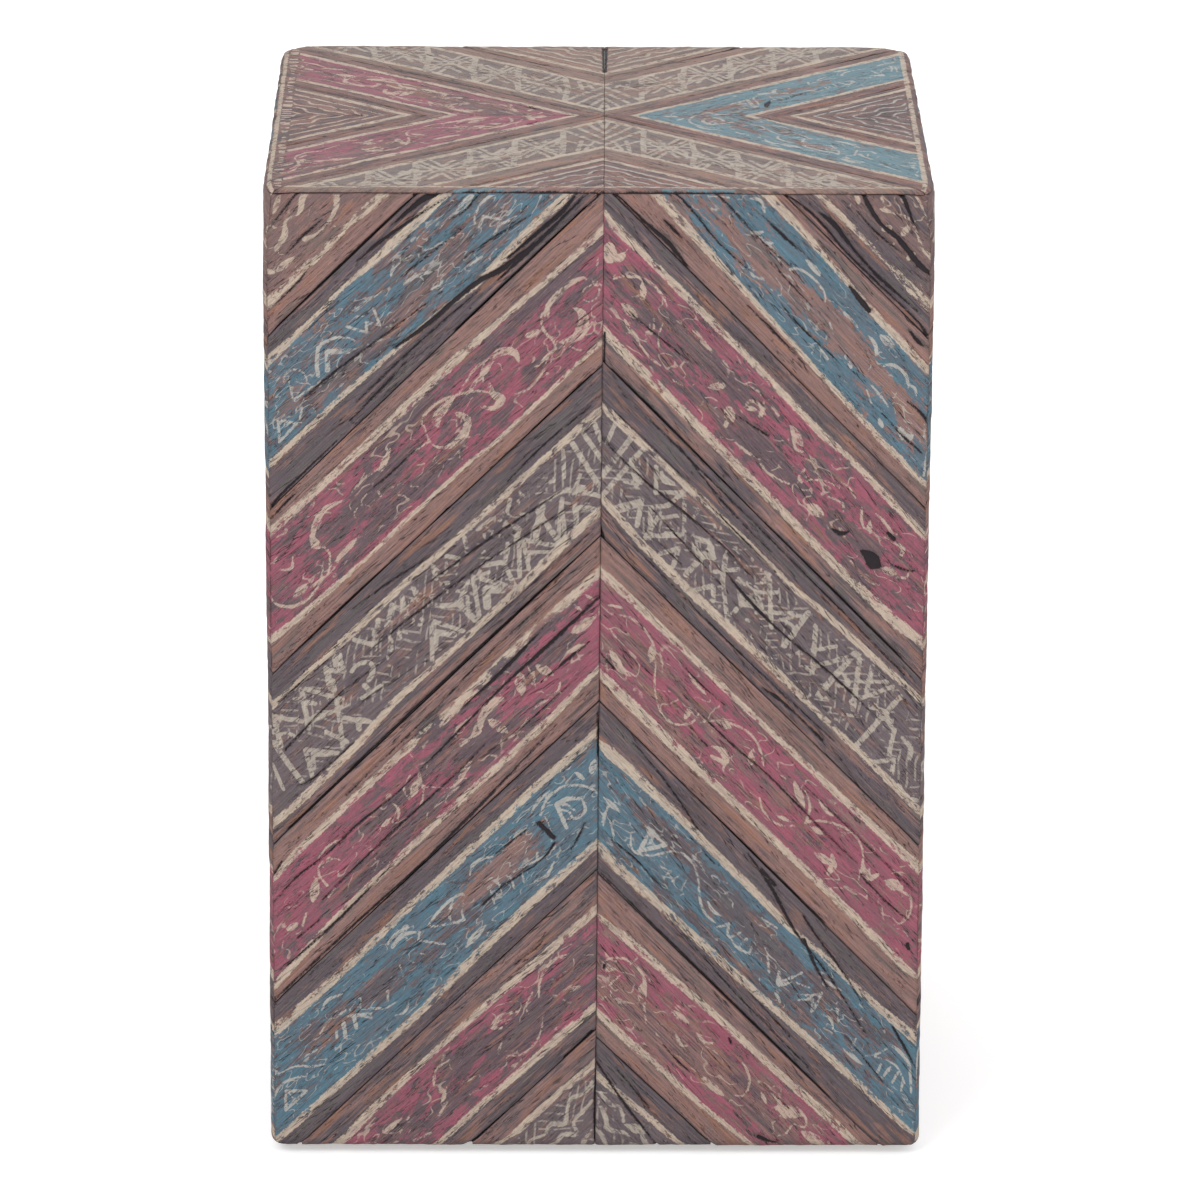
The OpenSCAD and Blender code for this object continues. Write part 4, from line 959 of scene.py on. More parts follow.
class Shell:
    """One closed board: a fine grid in front and plain faces behind."""

    def __init__(self, front, upper, lower, flip):
        rows, cols = self.shape = front.shape[:2]
        self.points = np.vstack((front.reshape(-1, 3), upper, lower))
        self.shown = np.zeros(len(self.points))
        self.shown[:rows * cols] = 1
        grid = np.arange(rows * cols).reshape(rows, cols)
        up = rows * cols + np.arange(cols)
        lo = up + cols
        face = np.stack((grid[1:, :-1], grid[1:, 1:], grid[:-1, 1:], grid[:-1, :-1]), -1).reshape(-1, 4)
        self.quads = np.vstack((
            face,
            np.stack((grid[0, :-1], grid[0, 1:], up[1:], up[:-1]), -1),
            np.stack((grid[-1, 1:], grid[-1, :-1], lo[:-1], lo[1:]), -1),
            np.stack((up[:-1], up[1:], lo[1:], lo[:-1]), -1),
        ))
        self.ends = [list(grid[::-1, 0]) + [up[0], lo[0]], list(grid[:, -1]) + [lo[-1], up[-1]]]
        if flip:
            self.quads = self.quads[:, [0, 3, 2, 1]]
            self.ends = [end[::-1] for end in self.ends]
        plain = len(self.quads) - len(face) + len(self.ends)
        self.smooth = [True] * len(face) + [False] * plain

    def turn(self, side):
        """Turns a finished board of the front sector to its own side of the block."""
        self.points = turned(self.points, side)
        self.layers["out"] = turned(self.layers["out"], side)


def joint_line(side, half, number, lines):
    """(offset at the seam, slope) of the joint over a row, number 0 being the highest."""
    if side == "front":
        seam, edge = FRONT_JOINTS[half][number]
        return seam, FRONT_SLOPE + (edge - seam) / HALF
    return lines[half][number]


def side_lines(seed):
    """The joint lines of a side that the photograph doesn't show."""
    rng = np.random.default_rng(seed)
    lines = {}
    for half in (-1, 1):
        lines[half] = []
        for number in range(9):
            seam = (number - 2) * PITCH + (rng.uniform(-1.3, 1.3) if 0 < number < 8 else 0)
            lines[half].append((seam, SLOPE + rng.uniform(-1.2, 1.2) / HALF))
    return lines


def side_board(half, line, next_line, step):
    """The shape of one side board on the front plane, and where its points lie on it."""

    def span(a):
        high = np.maximum(line[0] + line[1] * a + GAP * DIAGONAL, MITRE_STEP)
        low = np.minimum(next_line[0] + next_line[1] * a - GAP * DIAGONAL, LOW)
        return high, low

    along = np.linspace(SEAM_GAP, edge_limit(LOW / 2), int(HALF / step))
    high, low = span(along)
    along = along[low - high > LEAST_W]
    along = np.linspace(along[0], along[-1], len(along))
    high, low = span(along)
    w_high, w_low = unroll_foot(LOW - high), unroll_foot(LOW - low)
    t = shares((w_high - w_low).max(), step * 1.38)[:, None]
    s = LOW - roll_foot(w_high + (w_low - w_high) * t)
    a = np.broadcast_to(along, s.shape).copy()
    at_corner = along[-1] > HALF - 10
    if at_corner:
        start = HALF - 18
        reach = np.clip((a - start) / (along[-1] - start), 0, 1)
        a -= (edge_limit(LOW / 2) - edge_limit(s)) * reach
    depth = side_depth(a, s)
    front = np.stack((half * a, -HALF + depth, TOP - s), -1)
    back = np.minimum(BOARD_T, np.maximum(low - 0.6, depth.max(0) + 0.4))
    back_a = along
    if at_corner:
        share = (along - along[0]) / (along[-1] - along[0])
        back_a = np.minimum(along, along[0] + (HALF - back - CLEAR - along[0]) * share)
    back_high = np.maximum(high, back + CLEAR)
    back_low = np.maximum(low, back_high + 0.2)
    upper = np.stack((half * back_a, -HALF + back, TOP - back_high), -1)
    lower = np.stack((half * back_a, -HALF + back, TOP - back_low), -1)
    return Shell(front, upper, lower, half < 0), a, s


def top_board(half, kind, step):
    """The shape of one top board in the front sector: a is off the middle, e off the centre."""
    end, corner = HALF - MITRE_STEP, HALF - CORNER_R
    near, far = GAP, BOARD_W - GAP
    if kind == "end":
        near, far = BOARD_W + GAP, (end - GAP - LEAST_W) / DIAGONAL
    across = near + (far - near) * shares(far - near, step)

    # each line of the grid ends on the mitre of the top's edge, also where that is round
    k, r = across * DIAGONAL, CORNER_R - MITRE_STEP
    past = np.maximum((-k + np.sqrt(np.maximum(2 * r * r - k * k, 0))) / 2, 0)
    ends = np.where(end - k > corner, corner + past, end - k)
    q = shares((ends - SEAM_GAP).max() * DIAGONAL, step * 1.25)
    a = SEAM_GAP + (ends - SEAM_GAP)[:, None] * q
    e = a + k[:, None]
    away = CORNER_R - np.hypot(a - corner, e - corner)
    edge = np.where((a > corner) & (e > corner), np.minimum(HALF - e, away), HALF - e)
    front = np.stack((half * a, -e, TOP - round_depth(edge, TOP_R)), -1)

    def back(off):
        stop = HALF - BOARD_T - CLEAR
        off = min(off, (stop - GAP - 0.8) / DIAGONAL) * DIAGONAL
        line_a = SEAM_GAP + (stop - off - SEAM_GAP) * q
        return np.stack((half * line_a, -(line_a + off), np.full(len(q), TOP - BOARD_T)), -1)

    upper, lower = back(across[0]), back(across[-1])
    if kind == "end":
        lower[:, 1] -= 0.2
    return Shell(front, upper, lower, half < 0), a, e


# Paint and wear of a board

def knots_at(knots, u):
    """(v, width) of a border line at each u, from its (u, v, width) knots."""
    k = np.array(knots, float)
    return np.interp(u, k[:, 0], k[:, 1]), np.interp(u, k[:, 0], k[:, 2])


class Recipe:
    """What is painted on one board and how it has worn."""

    def __init__(self, rng):
        lift = rng.uniform(-1.5, 1.5, 4)
        self.top = [(0, 12.5 + lift[0], rng.uniform(3.5, 5.5)),
                    (PAINTED, 11.5 + lift[1], rng.uniform(3, 5))]
        self.bottom = [(0, BOARD_W - 11 + lift[2], rng.uniform(3.5, 5.5)),
                       (PAINTED, BOARD_W - 11.5 + lift[3], rng.uniform(3, 5))]
        self.tones = rng.choice([0.12, 0.3, 0.75, 0.9], 2)
        self.bare = rng.choice([0.1, 0.2, 0.6], p=[0.45, 0.35, 0.2])
        self.strokes = []
        self.worn = [(rng.uniform(0, PAINTED), rng.uniform(18, 50), rng.uniform(15, 45),
                      rng.uniform(3, 8), rng.uniform(0.05, 0.2)) for _ in range(7)]
        self.seam = 0.3                      # 1.3 shows no line at the seam
        self.rungs = False                   # short bars between the edge line and the edge
        self.unpainted = False               # lines straight on the wood
        self.spill = None                    # where paint has run over the arris: from, to, depth
        self.patches, self.cracks = [], []
        for _ in range(rng.integers(3, 8)):
            u, v = rng.uniform(0, PAINTED), rng.uniform(4, 62)
            self.cracks.append(bend(*((u + k * rng.uniform(9, 16), v - k * rng.uniform(-0.6, 1.8), w)
                                      for k, w in enumerate((0.15, 0.9, 1.2, 0.7, 0.1)))))

    def take(self, given, rng):
        """Uses what is given for this board in place of what chance made up."""
        for name in ("top", "bottom", "tones", "bare", "worn", "cracks"):
            setattr(self, name, given[name])
        self.strokes = list(given["strokes"])
        self.patches = given.get("patches", ())
        self.seam = given.get("seam", 0.15)
        self.spill = given.get("spill")
        for u0, u1, v0, v1, count in given.get("scatter", ()):
            for _ in range(count):
                u, v, turn = rng.uniform(u0, u1), rng.uniform(v0, v1), rng.uniform(0, 6.3)
                r = rng.uniform(1, 3)
                self.strokes.append(bar(u, v, u + r * math.cos(turn), v + r * math.sin(turn),
                                        rng.uniform(0.7, 1.5)))

    def copy(self, given, rng):
        """Paints the ornament of another board again, shifted and perhaps mirrored."""
        shift, flip = rng.uniform(-12, 12), rng.random() < 0.5
        for stroke in given["strokes"]:
            line = np.array(stroke, float) + (shift, 0, 0)
            if flip:
                line[:, 1] = BOARD_W + 2 - line[:, 1]
            self.strokes.append(line)

    def values(self, u, v):
        """Gaps to band, border, ornament and cracks in mm, wood tone and extra wear."""
        top, top_w = knots_at(self.top, u)
        bottom, bottom_w = knots_at(self.bottom, u)
        band = np.maximum(top - v, v - bottom)
        border = np.minimum(abs(v - top) - top_w / 2, abs(v - bottom) - bottom_w / 2)
        ink = np.maximum(stroke_gap(u, v, self.strokes), band + 1.2)
        crack = stroke_gap(u, v, self.cracks)
        tone = np.where(v < (top + bottom) / 2, self.tones[0], self.tones[1])
        tone = tone + (self.bare - tone) * np.clip(-band / 1.5, 0, 1)
        for pu, pv, ru, rv, value in self.patches:
            tone += (value - tone) * np.exp(-((u - pu) / ru) ** 4 - ((v - pv) / rv) ** 4)
        worn = np.zeros(u.shape)
        for wu, wv, ru, rv, amount in self.worn:
            worn += amount * np.exp(-((u - wu) / ru) ** 2 - ((v - wv) / rv) ** 2)
        return band, border, ink, crack, tone, worn


def outward(front, flip):
    """The outward direction at each point of a board's grid."""
    normal = np.cross(np.gradient(front, axis=0), np.gradient(front, axis=1))
    if flip:
        normal = -normal
    return normal / np.maximum(np.linalg.norm(normal, axis=-1, keepdims=True), 1e-9)


def finish_shell(shell, u, v, recipe, number, half, margin, edge_line):
    """Adds a board's coordinates, paint and wear to its shell.

    margin is how far each point is from the block's outer edge; edge_line is where a cream
    line runs beside that edge and how wide it is."""
    rows, cols = shell.shape
    count = rows * cols
    extra = len(shell.points) - count
    front = shell.points[:count].reshape(rows, cols, 3)
    out = np.zeros((len(shell.points), 3))
    out[:count] = outward(front, half < 0).reshape(-1, 3)
    back_u = np.concatenate((u[0], u[-1]))
    back_v = np.concatenate((v[0] - BOARD_T, v[-1] + BOARD_T))
    u, v, margin = u.ravel(), v.ravel(), margin.ravel()

    band, border, ink, crack, tone, worn = recipe.values(u, v)
    line_v, line_w = edge_line
    beyond = margin - line_v
    if recipe.unpainted:
        band = np.full(band.shape, FAR)
    band, border = np.where(beyond > 0, (band, border), FAR)
    border = np.minimum(border, abs(beyond) - line_w / 2)
    ink = np.where(beyond > line_w / 2 + 0.8, ink, FAR)
    across = (u - v) / DIAGONAL
    if recipe.rungs:
        inner = margin - 10.5
        band, border = (np.where(inner > 0, x, np.where(beyond > 0, FAR, x)) for x in (band, border))
        border = np.minimum(border, abs(beyond) - line_w / 2)
        wander = across + 3.4 * np.sin(across / 9.1) + 2.2 * np.sin(across / 4.3)
        rung = np.maximum(abs(wander % 8.5 - 4.2) - 1.9,
                          abs(inner + 2.3) - 2.3 + np.sin(across / 12.7))
        ink = np.where(inner > 0, ink, rung)
    if recipe.spill:
        start, stop, deep = recipe.spill
        from_middle = across - BOARD_W / DIAGONAL
        band = np.maximum(abs(from_middle - (start + stop) / 2) - (stop - start) / 2, margin - deep)

    def away(line):
        return np.linalg.norm(front - line, axis=-1)

    def pad(values, fill):
        return np.concatenate((np.ravel(values), np.full(extra, fill)))

    edge = np.minimum.reduce((away(front[:1]), away(front[-1:]),
                              away(front[:, :1]) * 1.4 + recipe.seam, away(front[:, -1:]) + 3))
    shell.layers = {
        "board": np.column_stack((np.concatenate((u, back_u)), half * np.concatenate((v, back_v)),
                                  np.full(len(shell.points), number * NEXT_BOARD))),
        "paint": np.column_stack((pad(band, FAR), pad(border, FAR), pad(ink, FAR))),
        "state": np.column_stack((pad(tone, 0.3), pad(worn, 0), pad(crack, FAR))),
        "out": out,
        "arris": pad(edge, 0.0),
    }


def build_mesh(name, shells):
    """One mesh of closed boards, with their values as attributes."""
    mesh = bpy.data.meshes.new(name)
    points = np.vstack([s.points for s in shells]) * MM
    loops, totals, smooth_faces, base = [], [], [], 0
    for s in shells:
        loops.append(s.quads.ravel() + base)
        totals.append(np.full(len(s.quads), 4))
        for end in s.ends:
            loops.append(np.array(end) + base)
            totals.append(np.array([len(end)]))
        smooth_faces += s.smooth
        base += len(s.points)
    loops, totals = np.concatenate(loops), np.concatenate(totals)
    mesh.vertices.add(len(points))
    mesh.vertices.foreach_set("co", points.ravel())
    mesh.loops.add(len(loops))
    mesh.loops.foreach_set("vertex_index", loops.astype(np.int32))
    mesh.polygons.add(len(totals))
    starts = np.concatenate(([0], np.cumsum(totals)[:-1]))
    mesh.polygons.foreach_set("loop_start", starts.astype(np.int32))
    mesh.polygons.foreach_set("use_smooth", np.array(smooth_faces, bool))
    for key in shells[0].layers:
        values = np.concatenate([s.layers[key] for s in shells])
        kind = "FLOAT" if values.ndim == 1 else "FLOAT_VECTOR"
        layer = mesh.attributes.new(key, kind, "POINT")
        layer.data.foreach_set("value" if kind == "FLOAT" else "vector",
                               values.astype(np.float32).ravel())
    mesh.update(calc_edges=True)
    mesh.validate()
    return mesh


# Geometry trees

def new_tree(name, inputs, output):
    """The net of a new geometry tree, and its inputs; each has a name and a kind."""
    tree = bpy.data.node_groups.new(name, "GeometryNodeTree")
    for socket, kind in (*inputs, ("Material", "Material")):
        tree.interface.new_socket(socket, in_out="INPUT", socket_type=f"NodeSocket{kind}")
    tree.interface.new_socket(output, in_out="OUTPUT", socket_type="NodeSocketGeometry")
    net = Net(tree)
    return net, net.put("NodeGroupInput", out=None).outputs


def close_tree(net, shape, material):
    """Makes a tree's shape real, gives it its material and returns the tree."""
    real = net.put("GeometryNodeRealizeInstances", (shape,))
    done = net.put("GeometryNodeSetMaterial", {"Geometry": real, "Material": material})
    net.put("NodeGroupOutput", (done,), out=None)
    return net.tree


def weathering_tree():
    """Sinks hollows, raised grain, cracks and worn arrises into a board's shown face."""
    numbers = [(name, "Float") for name in ("Hollow", "Grain", "Crack", "Arris", "Seed")]
    net, given = new_tree("board_weathering", [("Boards", "Geometry"), *numbers], "Boards")
    place = net.put("ShaderNodeVectorMath", (
        net.named("board"), net.put("ShaderNodeCombineXYZ", {"Z": given["Seed"]})), operation="ADD")
    gap = net.split(net.named("state"))["Z"]
    hollow = net.ramp(net.noise(place, (60, 17), 2), 0.3, 0.7)
    grain = net.ramp(net.noise(place, (26, 2.6), 3, 0.6), 0.3, 0.7)
    ragged = net.noise(place, (7, 5), 2)
    crack = net.step(net.add(gap, net.ramp(ragged, 0, 1, -0.6, 0.6)), 0.7, -0.3)
    arris = net.step(net.named("arris", "FLOAT"), net.ramp(ragged, 0.2, 0.8, 1.0, 2.8), 0.0)
    depth = net.add(net.add(net.times(hollow, given["Hollow"]), net.times(grain, given["Grain"])),
                    net.add(net.times(crack, given["Crack"]), net.times(arris, given["Arris"])))
    offset = net.put("ShaderNodeVectorMath", {
        "Vector": net.named("out"), "Scale": net.times(depth, -MM)}, operation="SCALE")
    moved = net.put("GeometryNodeSetPosition", {"Geometry": given["Boards"], "Offset": offset})
    return close_tree(net, moved, given["Material"])


def screws_tree():
    """Sets a screw on every point, turned as the point says."""
    net, given = new_tree("screw_setting", [("Places", "Geometry"), ("Screw", "Object")], "Screws")
    screw = net.put("GeometryNodeObjectInfo", {"Object": given["Screw"]}, out="Geometry")
    turn = net.put("FunctionNodeEulerToRotation", (net.named("turn"),))
    points = net.put("GeometryNodeMeshToPoints", (given["Places"],))
    placed = net.put("GeometryNodeInstanceOnPoints", {
        "Points": points, "Instance": screw, "Rotation": turn})
    return close_tree(net, placed, given["Material"])


def set_input(modifier, name, value):
    """Sets a named input of a geometry tree by its socket's identifier."""
    for item in modifier.node_group.interface.items_tree:
        if item.item_type == "SOCKET" and item.in_out == "INPUT" and item.name == name:
            modifier[item.identifier] = value
            return
    raise RuntimeError(f"the tree has no input {name}")


def run_tree(obj, tree, inputs):
    """Runs a geometry tree on an object and keeps the result as its plain mesh."""
    modifier = obj.modifiers.new("shape", "NODES")
    modifier.node_group = tree
    for name, value in inputs.items():
        set_input(modifier, name, value)
    depsgraph = bpy.context.evaluated_depsgraph_get()
    mesh = bpy.data.meshes.new_from_object(obj.evaluated_get(depsgraph))
    obj.modifiers.remove(modifier)
    old, obj.data = obj.data, mesh
    mesh.name = obj.name
    bpy.data.meshes.remove(old)


def add_piece(name, mesh, nodes, tree, inputs):
    """Links a piece, runs its tree, and puts it on the frame in place of its nodes."""
    obj = bpy.data.objects.new(name, mesh)
    bpy.context.scene.collection.objects.link(obj)
    run_tree(obj, tree, inputs)
    if "out" in obj.data.attributes:
        obj.data.attributes.remove(obj.data.attributes["out"])
    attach(obj, "root")
    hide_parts(*nodes)


# Screws

def screw_places(node):
    """Middle of the head, way out and length of every screw of a CAD node, in metres."""
    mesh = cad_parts[node].data
    points, same = np.unique(np.round([tuple(v.co) for v in mesh.vertices], 6),
                             axis=0, return_inverse=True)
    edges = same.ravel()[np.array([tuple(e.vertices) for e in mesh.edges])]
    label, changed = np.arange(len(points)), True
    while changed:                                      # spreads one label over each screw
        least = label.copy()
        np.minimum.at(least, edges[:, 0], label[edges[:, 1]])
        np.minimum.at(least, edges[:, 1], label[edges[:, 0]])
        changed = (least != label).any()
        label = least
    places = []
    for part in np.unique(label):
        own = points[label == part]
        low, high = own.min(0), own.max(0)
        axis = int(np.argmax(high - low))
        middle, across = (low + high) / 2, (axis + 1) % 3
        widest = own[np.argmax(abs(own[:, across] - middle[across]))]
        way = np.zeros(3)
        way[axis] = 1 if widest[axis] > middle[axis] else -1
        place = middle.copy()
        place[axis] = high[axis] if way[axis] > 0 else low[axis]
        places.append((place, way, high[axis] - low[axis]))
    return places


def screw_mesh(length, head=7.7, shank=3.7, pitch=1.8, around=32):
    """A countersunk wood screw with a cross recess, its head's middle at the origin."""
    angle = np.linspace(0, 2 * math.pi, around, endpoint=False)
    neck = (head - shank) / 2
    thread = np.arange(-neck - 2, -length + 3.2, -pitch / 4)
    rings = [(r, None) for r in np.linspace(0.2, head / 2 - 0.15, 12)]
    rings += [(head / 2, -0.15), (head / 2, -0.3), (shank / 2, -neck)]
    rings += [(shank / 2, z) for z in thread] + [(shank / 2 - 0.4, -length + 3), (0.2, -length + 0.1)]
    points = []
    for r, height in rings:
        if height is not None and thread[0] >= height >= thread[-1]:
            r = r - 0.5 * abs((height / pitch + angle / (2 * math.pi)) % 1 * 2 - 1)
        x, y = r * np.cos(angle), r * np.sin(angle)
        if height is None:                              # the head's face, with its recess
            arm = np.minimum(np.maximum(abs(x) - 0.5, abs(y) - 2.1),
                             np.maximum(abs(y) - 0.5, abs(x) - 2.1))
            height = np.clip(arm / 0.25, -1, 0) * 1.3
        points.append(np.column_stack((x, y, np.broadcast_to(height, x.shape))))
    points = np.vstack(points) * MM
    faces = [list(range(around))]
    for ring in range(len(rings) - 1):
        for k in range(around):
            a, b = ring * around + k, ring * around + (k + 1) % around
            faces.append([b, a, a + around, b + around])
    last = (len(rings) - 1) * around
    faces.append([last + k for k in reversed(range(around))])
    mesh = bpy.data.meshes.new("screw")
    mesh.from_pydata(points.tolist(), [], faces)
    mesh.validate()
    return mesh


def set_screws(node, tree, material, rng):
    """Sets cross-recess screws where a CAD node has plain ones, each driven to its own angle."""
    places = screw_places(node)
    template = bpy.data.objects.new("screw", screw_mesh(places[0][2] / MM))
    mesh = bpy.data.meshes.new(node)
    mesh.from_pydata([tuple(place - way * 0.05 * MM) for place, way, _ in places], [], [])
    turns = mesh.attributes.new("turn", "FLOAT_VECTOR", "POINT")
    for item, (_, way, _) in zip(turns.data, places):
        upright = Vector(way).to_track_quat("Z", "Y").to_matrix()
        item.vector = (upright @ Matrix.Rotation(rng.uniform(0, 1.57), 3, "Z")).to_euler()
    add_piece(f"{node}_driven", mesh, [node], tree,
              {"Screw": template, "Material": material})
    bpy.data.objects.remove(template)


# Materials

class BoardFinish(Finish):
    """The net of a painted board: its colours, what its points carry and its noises."""

    def __init__(self, paint):
        super().__init__(f"worn_{paint}_paint")
        colours = bpy.context.scene.block_colours
        # inside is the crack colour, painted shade for the inside of cracks.
        self.dark, self.warm, self.cream, self.inside, self.ground = (
            tuple(getattr(colours, name)) for name in ("dark_wood", "warm_wood", "cream", "crack", paint))
        self.blue, self.grey = paint == "blue", paint == "grey"
        self.place = place = self.attribute("board")
        self.band, self.border, self.ink = self.split(self.attribute("paint"))
        self.tone, self.worn, self.crack = self.split(self.attribute("state"))
        self.fibre = self.noise(place, (46, 0.8), 6, 0.68)
        self.hair = self.noise(place, (14, 0.45), 3, 0.7, shift=3)
        self.grit = self.noise(place, (1.3, 0.8), 4, 0.78, shift=7)
        self.patch = self.noise(place, (26, 4.2), 7, 0.68, shift=11)
        self.brush = self.noise(place, (12, 0.9), 6, 0.72, shift=37)
        coarse = self.noise(place, (4, 2.4), 4, 0.7, shift=51)
        self.ragged = self.add(self.ramp(coarse, 0.25, 0.75, -0.45, 0.45),
                               self.ramp(self.grit, 0.25, 0.75, -0.55, 0.55))
        self.chips = self.torn(self.noise(place, (9, 3.5), 9, 0.8, shift=61), 0.05)
        self.in_band = self.step(self.torn(self.band, 1.0), 0.4, -0.2)

    def torn(self, value, share):
        """The value with a ragged edge of this share."""
        return self.add(value, self.times(self.ragged, share))

    def by_height(self, sides, top):
        """One value on the sides of the block and another on its top."""
        return self.step(self.split(self.in_mm())["Z"], TOP - 2, TOP - 1, sides, top)

    def wood(self):
        """Grey and warm bare wood, stained, with open grain."""
        mixed = self.add(self.tone, self.ramp(self.patch, 0, 1, -1.3, 1.3),
                         self.ramp(self.fibre, 0, 1, -0.6, 0.6))
        wood = self.blend(self.step(mixed, 0.2, 0.8), self.dark, self.warm)
        stain = self.noise(self.place, (38, 5), 6, 0.7, shift=131)
        wood = self.blend(self.step(stain, 0.52, 0.64, 0, 0.6), wood, rgb(152, 109, 88))
        wood = self.blend(self.step(stain, 0.48, 0.37, 0, 0.65), wood, rgb(98, 93, 90))
        return self.shade(wood, self.fibre, 0.64, 1.24)

    def coat(self):
        """Ground paint, thin enough for the grain to show, and on a blue top a lighter teal that is
        painted sheen.
        """
        faded = self.step(self.add(self.patch, self.ramp(self.brush, 0, 1, -0.25, 0.25)), 0.40, 0.60)
        coat = self.blend(faded, self.ground, self.blend(0.4, self.ground, self.dark))
        coat = self.shade(coat, self.fibre, 0.8, 1.18)
        # Painted sheen: a blue board's top is blended towards a lighter teal, as light glancing off it.
        return self.blend(self.by_height(0, 0.5), coat, rgb(112, 148, 156)) if self.blue else coat

    def coated(self):
        """How much of the ground paint is left."""
        wear = self.noise(self.place, (15, 5), 10, 0.78, shift=23, warp=0.5)
        bare = self.step(self.torn(self.add(wear, self.worn), 0.045), 0.515, 0.54)
        return self.times(self.in_band, self.ramp(bare, 0, 1, 0.96, 0.1))

    def creams(self):
        """The cream of the border lines, and that of the ornament, nearer to the ground."""
        lines = self.blend(self.step(self.torn(self.brush, 0.12), 0.42, 0.62),
                           self.cream, self.blend(0.35, self.cream, self.dark))
        if self.blue or self.grey:
            tint = rgb(158, 172, 178) if self.blue else rgb(182, 178, 168)
            return lines, self.blend(0.45, lines, tint)
        return lines, self.blend(0.22, lines, self.blend(0.5, self.ground, self.cream))

    def strokes(self):
        """Where the border lines and the ornament are left between their chips."""
        loss = self.add(self.chips, self.times(self.worn, 0.4))
        line = self.times(self.step(self.torn(self.border, 1.2), 0.15, -0.2),
                          self.step(loss, 0.575, 0.545))
        wider = 0.3 if self.grey else 0.0
        drawn = self.times(self.step(self.torn(self.ink, 0.75), 0.12 + wider, -0.25 + wider),
                           self.step(loss, 0.575, 0.54))
        return line, drawn

    def hatching(self):
        """Faint strokes that lean one way or the other, on the sides only."""
        apart = 6.4
        u, v, _ = self.split(self.place)
        bent = self.times(self.noise(self.place, (40, 20), 2, 0.5, shift=173), 12)
        way = self.step(self.noise(self.place, (13, 13), 0, 0.5, shift=191), 0.495, 0.505, -0.95, 1.2)
        across = self.times(self.add(u, self.times(v, way), bent), 1 / apart)
        gap = self.times(self.math("ABSOLUTE", self.add(self.math("FRACT", across), -0.5)), apart)
        return self.times(self.step(self.torn(gap, 0.5), 1.0, 0.6), self.by_height(1, 0))

    def tendrils(self):
        """Faint tendrils between the drawn scrolls."""
        curl = self.noise(self.place, (13, 5) if self.blue else (15, 9), 1, 0.5, shift=179)
        return self.veins(curl, 0.021, 0.012)

    def faint_marks(self):
        """The hatching or the tendrils, in groups inside the painted band."""
        marks = self.hatching() if self.grey else self.tendrils()
        low, high = (0.48, 0.52) if self.grey or self.blue else (0.51, 0.55)
        groups = self.step(self.noise(self.place, (30, 15), 3, 0.6, shift=167), low, high)
        well_in = self.step(self.torn(self.band, 1.0), -3, -4.2)
        return self.times(marks, groups, well_in, self.step(self.chips, 0.56, 0.52))

    def flecks(self):
        """Flecks of cream in the painted band."""
        few = 0.615 if self.blue else 0.65
        return self.times(self.step(self.torn(self.brush, 0.06), few, few + 0.035), self.in_band, 0.55)

    def rubbed_and_sheen(self, colour):
        """The colour with grey worn patches over everything and grit, and on the grey top a pale painted
        sheen.
        """
        patches = self.noise(self.place, (12, 3.6), 9, 0.78, shift=71)
        patches = self.step(self.torn(patches, 0.03), 0.58, 0.61)
        dusty = self.blend(self.tone, self.dark, self.blend(0.5, self.dark, self.warm))
        colour = self.blend(self.times(patches, 0.5), colour, dusty)
        # Painted sheen: the top of a grey board is blended towards pale grey, as light glancing off it.
        if self.grey:
            colour = self.blend(self.by_height(0, 0.15), colour, rgb(180, 168, 150))
        specks = self.add(self.times(self.grit, 1.3), self.times(self.hair, 0.7))
        return self.blend(1.0, colour, self.ramp(specks, 0.75, 1.25, 0.83, 1.15), "MULTIPLY")

    def drying_cracks(self):
        """Cracks along the grain, a few long ones, many hairlines and the board's own: where painted
        shade goes.
        """
        burst = self.noise(self.place, (38, 10), 3, 0.6, shift=97)
        fine = self.noise(self.place, (64, 4.6), 4, 0.55, turn=-7, shift=83)
        fine = self.times(self.veins(fine, 0.013, 0.003), self.step(burst, 0.50, 0.57))
        threads = self.noise(self.place, (20, 1.7), 3, 0.62, turn=-4, shift=113)
        threads = self.times(self.veins(threads, 0.016, 0.004), self.step(burst, 0.50, 0.43))
        deep = self.step(self.torn(self.crack, 0.8), 0.35, -0.25)
        return self.most(self.times(fine, 0.9), self.times(threads, 0.88), deep)

    def joints(self):
        """The dark line along a board's edge, stronger in places."""
        edge = self.step(self.torn(self.attribute("arris", "Fac"), 0.35), 0.62, 0.05)
        uneven = self.noise(self.place, (70, 30), 3, 0.6, shift=151)
        return self.times(edge, self.step(uneven, 0.40, 0.56, 0.2, 0.85))


def board_material(paint):
    """Old wood with worn paint, cream lines, drying cracks and raised grain."""
    net = BoardFinish(paint)
    coated, opened = net.coated(), net.drying_cracks()
    line, drawn = net.strokes()
    line_cream, drawn_cream = net.creams()
    colour = net.blend(coated, net.wood(), net.coat())
    colour = net.blend(net.times(line, 0.86), colour, line_cream)
    colour = net.blend(net.times(drawn, 0.7 if net.grey else 0.84), colour, drawn_cream)
    colour = net.blend(net.times(net.faint_marks(), 0.5 if net.grey else 0.6), colour, drawn_cream)
    colour = net.rubbed_and_sheen(net.blend(net.flecks(), colour, drawn_cream))
    colour = net.blend(net.joints(), colour, net.blend(0.25, net.inside, net.dark))
    painted = net.most(line, drawn, net.times(coated, 0.6))
    # Painted shade: the cracks are painted the near-black crack colour.
    net.cover(colour=net.blend(opened, colour, net.inside), shine=0.3,
              rough=net.add(net.ramp(net.fibre, 0.3, 0.7, 0.86, 0.7), net.times(painted, -0.1)))
    net.bump(net.add(net.times(net.fibre, 0.55), net.times(net.hair, 0.16), net.times(painted, 0.12),
                     net.times(opened, -1.1)), 0.55, 0.7)
    return net.material


